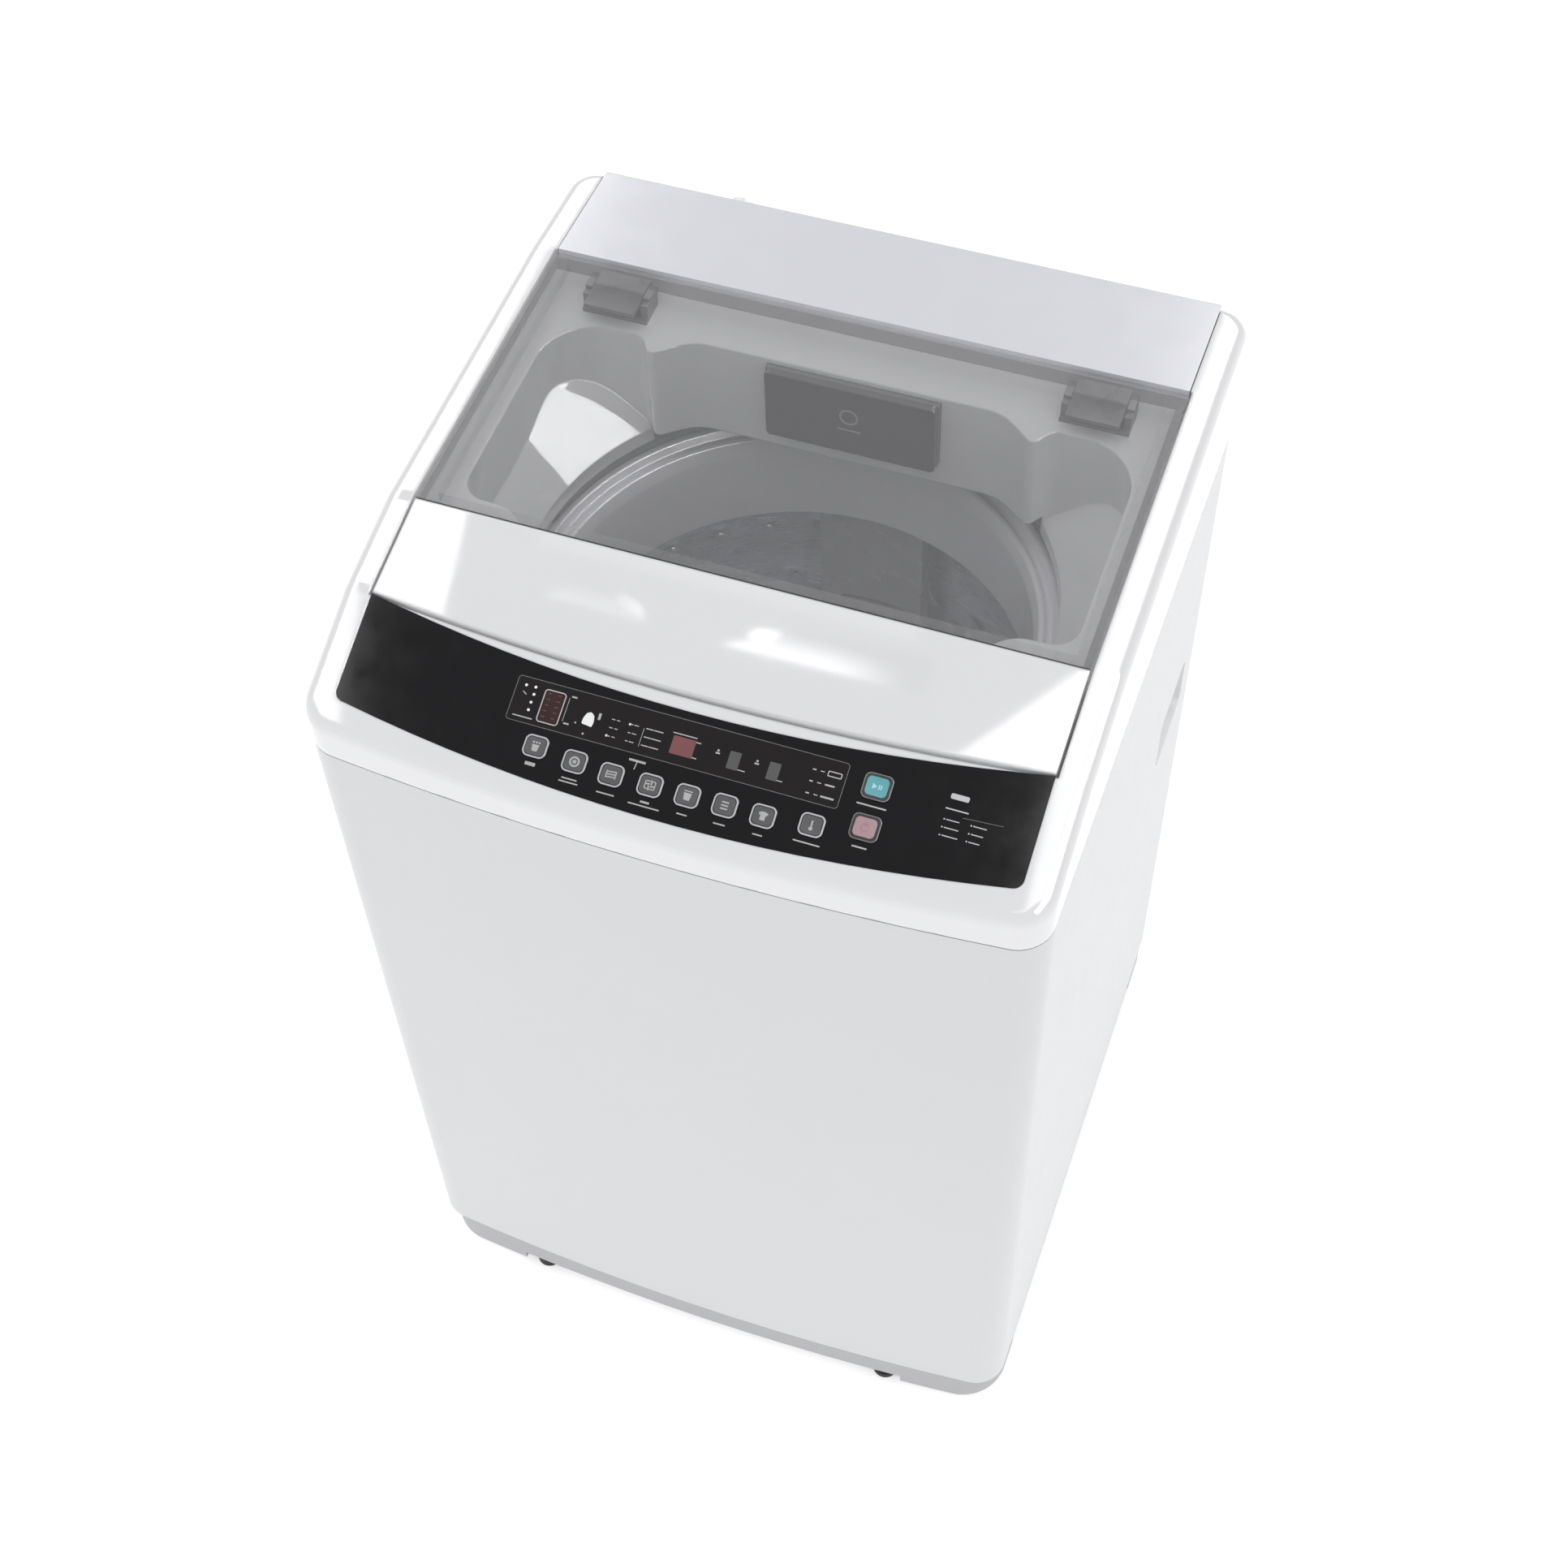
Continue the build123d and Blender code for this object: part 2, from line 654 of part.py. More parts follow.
def drain_valve():
    """Drain valve under the sump with its actuator beside it."""
    low, high = TUB_Z - 60, TUB_Z - 14
    body = post(DRAIN_X, DRAIN_Y, 22, low, high) + rod_y(DRAIN_X, low + 16, 10, DRAIN_Y, DRAIN_Y + 44)
    body += box_between((DRAIN_X + 10, DRAIN_X + 62), (DRAIN_Y - 16, DRAIN_Y + 16), (low + 8, low + 40))
    body -= post(DRAIN_X, DRAIN_Y, 12, low + 6, high + 1)
    return body - rod_y(DRAIN_X, low + 16, 8, DRAIN_Y, DRAIN_Y + 50)


def hose(points, outer, inner, radius):
    """Round hose along straight runs joined by tangent arcs."""
    path = FilletPolyline(*points, radius=radius)
    start = Plane(origin=path @ 0, z_dir=path % 0)
    return sweep(start * (Circle(outer) - Circle(inner)), path=path)


def drain_hose():
    """Hose from the valve down to the outlet at the back."""
    high = TUB_Z - 44
    points = [
        (DRAIN_X, 120, high),
        (DRAIN_X, 182, high),
        (DRAIN_X, 212, DRAIN_OUT_Z),
        (DRAIN_X, 268, DRAIN_OUT_Z),
    ]
    return hose(points, 13, 10.2, 22)


def drain_outlet():
    """Spigot through the back panel for the waste hose."""
    panel_y = BACK_Y - SHEET
    spigot = rod_y(DRAIN_X, DRAIN_OUT_Z, SPIGOT_R, panel_y - 6, PORT_Y)
    spigot += rod_y(DRAIN_X, DRAIN_OUT_Z, 10, 250, panel_y)
    spigot += rod_y(DRAIN_X, DRAIN_OUT_Z, 24, panel_y, panel_y + 3)
    return spigot - rod_y(DRAIN_X, DRAIN_OUT_Z, 8, 240, PORT_Y + 5)


def top_frame():
    """Top casing: shoulder, lid recess, basin funnel, panel seat and rear bay."""
    skin = top_mass(0, 0, SHOULDER_R)
    inner = top_mass(WALL, WALL, SHOULDER_R - WALL)
    recess_half = LID_HALF + LID_GAP
    recess = extrude(Pos(0, 0, 800) * lid_plan(LID_GAP, 174.3), amount=140)
    recess_wall = extrude(Pos(0, 0, 800) * lid_plan(LID_GAP + WALL, 177.0), amount=140)
    tray = (recess_wall & under_top(0)) - under_top(LEDGE_DEPTH + WALL)
    funnel = basin_body(WALL) & under_top(LEDGE_DEPTH)
    frame = skin - inner
    frame += slab(0.5, 0, 2000) & tray
    frame += funnel
    frame += band(1.5, 4.5, SEAM_Z - 12, SEAM_Z + 6)
    frame -= recess - under_top(LEDGE_DEPTH)
    frame -= basin_body(0)
    frame -= box_between((-recess_half + 1.7, recess_half - 1.7), (174.3, 300), (905, 930))
    frame -= box_between((-recess_half + 1.7, recess_half - 1.7), (177.0, BACK_Y - WALL), (800, 930))
    seat = on_panel(panel_plan(-PANEL_GAP), -5, PANEL_THICK)
    well = on_panel(panel_plan(7), -5, 60)
    rim = on_panel(panel_plan(-PANEL_GAP - 2), 0, PANEL_THICK + 3)
    frame += rim & skin & slab(WALL - 1, 780, 900) - recess
    frame -= seat
    frame -= well - recess_wall
    frame -= post(0, TUB_Y, MOUTH_R, MOUTH_Z - 1, APRON_Z)
    frame -= box_between((-67, 79), (119, 190), (816.6, 883.4))
    frame -= rod_y(INLET_X, INLET_Z, INLET_R + 0.2, 270, 290)
    frame -= rod_y(210, 850, 8.2, 270, 290)
    return frame


def rear_cover():
    """Cap over the bay at the back, holding the valve and the wiring."""
    half = LID_HALF
    cover = box_between((-half, half), (174.6, BACK_Y), (905.4, TOP_BACK[1]))
    cover = fillet(cover.edges().filter_by(Axis.X).sort_by(Axis.Z)[-2:].sort_by(Axis.Y)[-1:], 2.5)
    cover -= box_between((-half + 2.5, half - 2.5), (179.5, BACK_Y - 2.5), (900, TOP_BACK[1] - 2.5))
    skirt = box_between((-half + 3, half - 3), (177.3, 179.5), (888, 906))
    return cover + skirt


def control_panel():
    """Black fascia with its key holes, display seat and posts for the board."""
    fascia = on_panel(panel_plan(0), 0, PANEL_THICK)
    for x, s, size in KEYS.values():
        fascia -= on_panel(key_face(x, s, size, KEY_GAP), -1, PANEL_THICK + 1)
    fascia -= on_panel(window_face(0.1), -1, WINDOW_THICK)
    fascia -= on_panel(window_face(-4), -1, PANEL_THICK + 1)
    for x, s in board_posts():
        fascia += on_panel(Pos(x, -s) * Circle(3.5), PANEL_THICK - 0.5, BOARD_DEPTH)
    return fascia


def board_posts():
    """Places of the four posts that hold the circuit board."""
    return [(-140, 42), (-140, 88), (172, 36), (172, 80)]


def window_face(grow):
    """Outline of the display window."""
    left, right, high, low = WINDOW
    middle = Pos((left + right) / 2, -(high + low) / 2)
    return middle * RectangleRounded(right - left + 2 * grow, low - high + 2 * grow, 3.0)


def display_window():
    """Clear lens set into the fascia."""
    return on_panel(window_face(0), 0, WINDOW_THICK)


def control_board():
    """Circuit board with its display block and one switch under each key."""
    plate = on_panel(Pos(16, -62) * Rectangle(340, 66), BOARD_DEPTH, BOARD_DEPTH + 1.6)
    plate += on_panel(Pos(1, -50) * Rectangle(30, 18), 4, BOARD_DEPTH + 0.5)
    plate += on_panel(Pos(56, -51) * Rectangle(44, 16), 4, BOARD_DEPTH + 0.5)
    for x, s, _ in KEYS.values():
        plate += on_panel(Pos(x, -s) * Rectangle(6, 6), BOARD_DEPTH - 1, BOARD_DEPTH + 0.5)
    return plate


def button(x, s, size):
    """Key cap with a retaining flange and a stem over its switch."""
    cap = on_panel(key_face(x, s, size, 0), -0.8, PANEL_THICK + 1.5)
    top = cap.faces().sort_by(Axis((0, 0, 0), tuple(PANEL_PLANE.z_dir)))[-1]
    cap = fillet(top.edges(), 0.7)
    flange = on_panel(key_face(x, s, size, 1.5), PANEL_THICK + 0.2, PANEL_THICK + 1.5)
    stem = on_panel(Pos(x, -s) * Circle(2.2), PANEL_THICK + 1, BOARD_DEPTH - 1 - BUTTON_TRAVEL - 0.3)
    return cap + flange + stem


def hinge_housing(x):
    """Block on the ledge with two cheeks bored for the lid's pin."""
    ledge = top_z(HINGE_Y) - LEDGE_DEPTH + 2.1
    base = box_between((x - 28, x + 28), (136, HINGE_Y), (870, ledge))
    base -= under_top(LEDGE_DEPTH)
    reach = HINGE_PIN_R + 2.2
    for side in (-1, 1):
        cheek_x = sorted((x + side * 22, x + side * 28))
        cheek = box_between(cheek_x, (140, HINGE_Y + 1.5), (ledge - 1, HINGE_Z))
        cheek += box_between(cheek_x, (146, HINGE_Y), (HINGE_Z - 1, HINGE_Z + reach))
        cheek += rod_x(HINGE_Y, HINGE_Z, reach, *cheek_x)
        base += cheek
    base &= under_top(GLASS_THICK + 0.4)
    return base - rod_x(HINGE_Y, HINGE_Z, HINGE_BORE_R, x - 40, x + 40)


def lid_hinge(x):
    """Knuckle under the glass with its pin, which turns in the housing's cheeks."""
    knuckle = box_between((x - 21.5, x + 21.5), (126, 166), (HINGE_Z - 1.5, 920))
    knuckle += rod_x(HINGE_Y, HINGE_Z, 4.4, x - 21.5, x + 21.5)
    knuckle &= under_top(GLASS_THICK)
    return knuckle + rod_x(HINGE_Y, HINGE_Z, HINGE_PIN_R, x - 28, x + 28)


def lid_glass():
    """Tinted panel between the hinge and the white front of the lid."""
    plate = box_between((-LID_HALF, LID_HALF), (GLASS_FRONT[0] + 0.4, TOP_BACK[0] - 1.5), (850, 930))
    plate &= lid_surface(0)
    plate -= lid_surface(GLASS_THICK)
    back_top = plate.edges().filter_by(Axis.X).group_by(Axis.Y)[-1].sort_by(Axis.Z)[-1]
    return chamfer(back_top, 2.2)


def lid_front_cover():
    """White front of the lid: a thin skin with skirts."""
    body = extrude(Pos(0, 0, 800) * lid_plan(0, GLASS_FRONT[0]), amount=140) & lid_surface(0)
    hollow = extrude(Pos(0, 0, 790) * lid_plan(-2.6, GLASS_FRONT[0] - 2.4), amount=140) & lid_surface(2.6)
    return body - lid_surface(LID_SKIRT) - hollow


def lid_frame():
    """Inner frame of the lid: side rails and back strip under the glass, closing plate in front."""
    rail_w = 13.0
    rails = []
    for side in (-1, 1):
        x = sorted((side * (LID_HALF - 0.4), side * (LID_HALF - rail_w)))
        rails.append(box_between(x, (GLASS_FRONT[0] + 1, HINGE_Y + 6), (800, 930)))
    frame = rails[0] + rails[1]
    frame += box_between((-LID_HALF + 1, LID_HALF - 1), (GLASS_FRONT[0] + 1, GLASS_FRONT[0] + 12), (800, 930))
    frame = (frame & lid_surface(GLASS_THICK)) - lid_surface(GLASS_THICK + LID_RAIL)
    floor = extrude(Pos(0, 0, 800) * lid_plan(-3.0, GLASS_FRONT[0] + 12), amount=140)
    frame += (floor & lid_surface(GLASS_THICK + LID_RAIL - 1)) - lid_surface(GLASS_THICK + LID_RAIL + 1)
    return frame


def lid_switch():
    """Switch under the ledge that tells whether the lid is shut."""
    top = top_z(60) - LEDGE_DEPTH - WALL - 1.5
    return box_between((255, 271), (45, 75), (top - 18, top))


def dispenser_housing():
    """Box behind the basin that the detergent drawer slides into, with its water nipple."""
    body = box_between((-66.6, 78.6), (126.3, 262), (817, 883))
    body -= box_between((-64.4, 76.4), (119, 259.5), (819.4, 880.6))
    body += rod_x(252, 826, 6, -94, -65)
    return body - rod_x(252, 826, 4, -100, -60)


def dispenser_drawer():
    """Detergent drawer with two compartments and a front plate."""
    tray = box_between((-63.6, 75.6), (126, 256), (820.2, 870))
    for low, high in ((-61.4, -3), (-0.6, 73.4)):
        tray -= box_between((low, high), (128.4, 253.6), (822.4, 882))
    front = box_between((-66, 78), (119.5, 126), (815.5, 884))
    front = fillet(front.edges().filter_by(Axis.Y), 4)
    front = fillet(front.faces().sort_by(Axis.Y)[0].edges(), 1.5)
    return tray + front


def inlet_valve():
    """Water inlet valve with a neck through the back wall, a flange and the threaded stub."""
    wall_y = BACK_Y - WALL
    flange_y = BACK_Y + 1.8
    body = box_between((INLET_X - 20, INLET_X + 20), (234, wall_y), (866, 903))
    body = fillet(body.edges().filter_by(Axis.Y), 3)
    body += rod_y(INLET_X, INLET_Z, INLET_R - 0.6, wall_y - 2, BACK_Y + 1)
    body += rod_y(INLET_X, INLET_Z, INLET_R + 4, BACK_Y, flange_y)
    body += rod_y(INLET_X, INLET_Z, INLET_R, flange_y - 1, PORT_Y)
    body += post(INLET_X, 252, 6, 846, 868)
    body -= rod_y(INLET_X, INLET_Z, 8.5, wall_y + 2, PORT_Y + 5)
    return body - post(INLET_X, 252, 4, 840, 875)


def inlet_hose():
    """Short hose from the valve to the detergent box."""
    points = [(INLET_X, 252, 860), (INLET_X, 252, 826), (-80, 252, 826)]
    return hose(points, 9, 6.2, 20)


def pressure_sensor():
    """Water level sensor on the back wall."""
    body = rod_y(130, 845, 24, 256, BACK_Y - WALL) + rod_y(130, 845, 10, 246, 257)
    return body + post(130, 264, 3, 812, 824)


def power_cord_gland():
    """Bush in the back wall where the mains lead goes in."""
    bush = rod_y(210, 850, 8, 272, 286) + rod_y(210, 850, 11.5, BACK_Y, BACK_Y + 4)
    return bush - rod_y(210, 850, 4, 260, 300)


def cabinet_screws():
    """Screws round the back panel and through the rear cover."""
    heads = []
    for z in (90, 270, 450, 630, 770):
        for x in (-247.5, 247.5):
            heads.append(rod_y(x, z, 4, BACK_Y, BACK_Y + 2.4))
    for x in (-60, 60, 150):
        heads.append(rod_y(x, 898, 4, BACK_Y, BACK_Y + 2.4))
    return heads


def build_casing():
    """Fixed pieces of the machine."""
    save("cabinet_shell", cabinet_shell())
    save("back_panel", back_panel())
    save("base_frame", base_frame())
    save("side_handles", side_handle(-1), side_handle(1))
    save("corner_gussets", *[corner_gusset(x, y) for x, y in rod_places()])
    save("suspension_rods", *[suspension_rod(x, y) for x, y in rod_places()])
    save("fixed_feet", *[foot(x, y, FOOT_R, 5.0) for x, y in foot_places()[:3]])
    save("adjustable_foot", adjustable_foot())
    save("top_frame", top_frame())
    save("rear_cover", rear_cover())
    save("control_panel", control_panel())
    save("display_window", display_window())
    save("control_board", control_board())
    save("hinge_housings", *[hinge_housing(x) for x in HINGE_XS])
    save("lid_switch", lid_switch())
    save("dispenser_housing", dispenser_housing())
    save("inlet_valve", inlet_valve())
    save("inlet_hose", inlet_hose())
    save("pressure_sensor", pressure_sensor())
    save("power_cord_gland", power_cord_gland())
    save("drain_outlet", drain_outlet())
    save("cabinet_screws", *cabinet_screws())


def build_washing_group():
    """The hanging tub, the basket, the pulsator and their drive."""
    save("outer_tub", outer_tub())
    save("tub_ring", tub_ring())
    save("support_plate", support_plate())
    save("gearbox", gearbox())
    save("damper_cups", *[damper_cup(x, y) for x, y in rod_places()])
    save("suspension_springs", *[suspension_spring(x, y) for x, y in rod_places()])
    save("shaft_bearings", *shaft_bearings())
    save("shaft_seal", shaft_seal())
    save("drain_valve", drain_valve())
    save("drain_hose", drain_hose())
    save("drive_belt", drive_belt())
    housing, rotor, pulley = motor_parts()
    save("motor", housing)
    save("motor_rotor", rotor)
    save("motor_pulley", pulley)
    save("drive_pulley", drive_pulley())
    save("basket_drum", basket_drum())
    save("balance_ring", balance_ring())
    save("basket_base", basket_base())
    save("basket_hub", basket_hub())
    save("lint_filters", lint_filter(-1), lint_filter(1))
    save("pulsator", pulsator())
    save("pulsator_shaft", pulsator_shaft())
    save("pulsator_screw", pulsator_screw())


def build_moving_top():
    """The lid, the detergent drawer and the keys."""
    save("lid_glass", lid_glass())
    save("lid_front_cover", lid_front_cover())
    save("lid_frame", lid_frame())
    save("lid_hinges", *[lid_hinge(x) for x in HINGE_XS])
    save("dispenser_drawer", dispenser_drawer())
    for name, (x, s, size) in KEYS.items():
        save(name, button(x, s, size))


os.makedirs("parts", exist_ok=True)
build_casing()
build_washing_group()
build_moving_top()
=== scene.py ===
import json
import math

import bmesh
import bpy
from mathutils import Matrix, Vector


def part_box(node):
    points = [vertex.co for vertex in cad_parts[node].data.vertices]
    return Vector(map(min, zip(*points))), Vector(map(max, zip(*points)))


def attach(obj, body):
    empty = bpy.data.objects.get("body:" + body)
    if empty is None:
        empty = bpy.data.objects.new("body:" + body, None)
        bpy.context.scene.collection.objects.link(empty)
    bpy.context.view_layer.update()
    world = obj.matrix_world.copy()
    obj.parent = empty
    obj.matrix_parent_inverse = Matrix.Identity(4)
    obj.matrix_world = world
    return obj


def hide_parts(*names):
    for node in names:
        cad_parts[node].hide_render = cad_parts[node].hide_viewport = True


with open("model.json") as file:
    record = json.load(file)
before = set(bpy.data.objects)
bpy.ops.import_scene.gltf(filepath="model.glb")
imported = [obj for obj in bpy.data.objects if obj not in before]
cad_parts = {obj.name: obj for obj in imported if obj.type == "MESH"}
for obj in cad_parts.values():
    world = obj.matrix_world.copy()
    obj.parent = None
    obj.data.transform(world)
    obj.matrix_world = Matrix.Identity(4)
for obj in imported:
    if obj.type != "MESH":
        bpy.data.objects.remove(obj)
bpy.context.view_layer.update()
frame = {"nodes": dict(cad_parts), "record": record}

NODES = frame["nodes"]
MM = 0.001

# ---- camera: where the viewer stands, from the object's middle ----
VIEW_AZIMUTH = 21.895
VIEW_ELEVATION = 52.697
VIEW_ROLL = -2.342
VIEW_DISTANCE = 2.1823
VIEW_AIM = (-0.0323, 0.0443, 0.45)
SENSOR = 36.0
LENS = 54.44


def add_camera():
    """Camera at the viewing angle, looking at the aim point with a slight roll."""
    azimuth = math.radians(VIEW_AZIMUTH)
    elevation = math.radians(VIEW_ELEVATION)
    roll = math.radians(VIEW_ROLL)
    back = Vector((
        math.sin(azimuth) * math.cos(elevation),
        -math.cos(azimuth) * math.cos(elevation),
        math.sin(elevation),
    ))
    level = Vector((math.cos(azimuth), math.sin(azimuth), 0.0))
    upright = back.cross(level)
    right = level * math.cos(roll) + upright * math.sin(roll)
    up = back.cross(right)
    data = bpy.data.cameras.new("camera")
    data.sensor_width = SENSOR
    data.lens = LENS
    data.clip_end = 50.0
    camera = bpy.data.objects.new("camera", data)
    turn = Matrix((right, up, back)).transposed().to_4x4()
    camera.matrix_world = Matrix.Translation(Vector(VIEW_AIM) + back * VIEW_DISTANCE) @ turn
    bpy.context.scene.collection.objects.link(camera)
    bpy.context.scene.camera = camera


# ---- studio ----
WORLD_LEVEL = 0.74
FLOOR_GLOW = 0.42
FLOOR_REACH = 12.0
CEILING = 2.6
SUNS = {
    # lean from the zenith, compass turn, power and spread
    "key": (18.0, -48.0, 0.14, 50.0),
    "fill": (26.0, 70.0, 0.08, 60.0),
}
LID_GLEAM = 8.0
RIM_GLEAM = 7.0
SPOT_GLEAM = 14.0
LONG_GLEAM = 10.0
SHORT_GLEAM = 3.0
STRIP_GLEAM = 1.6
BASIN_GLEAM = 26.0
BASIN_CARD_HALF = (1.15, 0.5)
BASIN_CARD_AWAY = 2.0


def sun_light(name, lean, turn, power, spread):
    """A broad, even light that leans from the zenith towards a compass turn, both in degrees."""
    data = bpy.data.lights.new(name, "SUN")
    data.energy = power * math.pi
    data.angle = math.radians(spread)
    light = bpy.data.objects.new(name, data)
    light.rotation_euler = (math.radians(lean), 0, math.radians(turn))
    light.visible_glossy = False
    bpy.context.scene.collection.objects.link(light)


def reflector(name, corners, level, fade=()):
    """A lit card that only glossy surfaces see, as a gleam.

    fade gives, for each of the axes named, the two positions between which the light dies away.
    """
    mesh = bpy.data.meshes.new(name)
    mesh.from_pydata(corners, [], [tuple(range(len(corners)))])
    card = bpy.data.objects.new(name, mesh)
    bpy.context.scene.collection.objects.link(card)
    material = bpy.data.materials.new(name)
    material.use_nodes = True
    tree = material.node_tree
    tree.nodes.remove(tree.nodes["Principled BSDF"])
    glow = tree.nodes.new("ShaderNodeEmission")
    glow.inputs["Strength"].default_value = level
    tree.links.new(glow.outputs["Emission"], tree.nodes["Material Output"].inputs["Surface"])
    place = tree.nodes.new("ShaderNodeTexCoord")
    split = tree.nodes.new("ShaderNodeSeparateXYZ")
    tree.links.new(place.outputs["Object"], split.inputs["Vector"])
    strength = None
    for axis, start, end in fade:
        ramp = tree.nodes.new("ShaderNodeMapRange")
        ramp.interpolation_type = "SMOOTHSTEP"
        ramp.inputs["From Min"].default_value = start
        ramp.inputs["From Max"].default_value = end
        ramp.inputs["To Min"].default_value = level
        ramp.inputs["To Max"].default_value = 0.0
        if strength:
            tree.links.new(strength, ramp.inputs["To Min"])
        tree.links.new(split.outputs[axis], ramp.inputs["Value"])
        strength = ramp.outputs["Result"]
        tree.links.new(strength, glow.inputs["Strength"])
    mesh.materials.append(material)
    for ray in ("camera", "diffuse", "transmission", "shadow"):
        setattr(card, "visible_" + ray, False)


def add_studio():
    """Plain pale floor, soft lights, a pale world and cards for the gleams on the lid."""
    scene = bpy.context.scene
    scene.view_settings.view_transform = "Standard"
    world = bpy.data.worlds.new("world")
    scene.world = world
    world.use_nodes = True
    background = world.node_tree.nodes["Background"]
    background.inputs["Color"].default_value = (0.985, 0.99, 1.0, 1.0)
    background.inputs["Strength"].default_value = WORLD_LEVEL
    mesh = bpy.data.meshes.new("floor")
    signs = ((-1, -1), (1, -1), (1, 1), (-1, 1))
    corners = [(sx * FLOOR_REACH, sy * FLOOR_REACH, 0) for sx, sy in signs]
    mesh.from_pydata(corners, [], [(0, 1, 2, 3)])
    floor = bpy.data.objects.new("floor", mesh)
    scene.collection.objects.link(floor)
    material = bpy.data.materials.new("floor")
    material.use_nodes = True
    shader = material.node_tree.nodes["Principled BSDF"]
    shader.inputs["Base Color"].default_value = (0.9, 0.9, 0.9, 1)
    shader.inputs["Roughness"].default_value = 0.9
    shader.inputs["Specular IOR Level"].default_value = 0.0
    shader.inputs["Emission Color"].default_value = (1, 1, 1, 1)
    shader.inputs["Emission Strength"].default_value = FLOOR_GLOW
    mesh.materials.append(material)
    for name, setting in SUNS.items():
        sun_light(name, *setting)
    add_gleams()


def add_gleams():
    """Cards whose reflections brighten the ends of the lid, its rims and one side of the basin."""
    back_fade = ("Y", 0.16, 0.208)
    right_fade = ("X", -0.32, -0.18)
    overhead = {
        "reflector_left": (
            [(-1.13, 0.02), (-0.905, 0.02), (-0.935, 0.36), (-1.13, 0.36)], LID_GLEAM, ()),
        "reflector_right": (
            [(-0.14, 0.03), (0.05, 0.03), (0.05, 0.36), (0.13, 0.36)], LID_GLEAM, ()),
        "reflector_rim_right": (
            [(0.058, -0.9), (2.0, -0.9), (2.0, 3.0), (0.015, 3.0), (0.015, 1.9), (0.036, 1.6), (0.036, 0.9),
             (0.056, 0.0)], RIM_GLEAM, ()),
        "reflector_rim_left": (
            [(-2.4, -0.9), (-1.057, -0.9), (-1.057, -0.2), (-1.128, 0.9), (-1.128, 1.6), (-1.23, 1.9),
             (-1.23, 3.0), (-2.4, 3.0)], RIM_GLEAM, ()),
        "reflector_leaf": (
            [(-0.66, 0.195), (-0.64, 0.18), (-0.612, 0.173), (-0.609, 0.181), (-0.63, 0.191)],
            SPOT_GLEAM, ()),
        "reflector_lens": (
            [(-0.448, 0.184), (-0.419, 0.18), (-0.395, 0.191), (-0.393, 0.199), (-0.423, 0.198)],
            SPOT_GLEAM, ()),
        "reflector_soft_long": (
            [(-0.481, 0.16), (-0.16, 0.164), (-0.16, 0.22), (-0.36, 0.21)],
            LONG_GLEAM, (back_fade, right_fade)),
        "reflector_soft_short": (
            [(-0.77, 0.163), (-0.6, 0.163), (-0.615, 0.2), (-0.72, 0.2)], SHORT_GLEAM, (back_fade,)),
        "reflector_strip": (
            [(-0.8, 0.238), (-0.2, 0.238), (-0.2, 0.3), (-0.8, 0.3)], STRIP_GLEAM, ()),
    }
    for name, (plan, level, fade) in overhead.items():
        reflector(name, [(x, y, CEILING) for x, y in plan], level, fade)
    basin = Vector((-0.2, 0.1, 0.85))
    ahead = Vector((0.79, -0.15, 0.6)).normalized()
    across = ahead.cross(Vector((0, 0, 1))).normalized() * BASIN_CARD_HALF[0]
    up = across.cross(ahead).normalized() * BASIN_CARD_HALF[1]
    middle = basin + ahead * BASIN_CARD_AWAY
    signs = ((-1, -1), (1, -1), (1, 1), (-1, 1))
    corners = [middle + across * sx + up * sz for sx, sz in signs]
    reflector("reflector_basin", corners, BASIN_GLEAM)


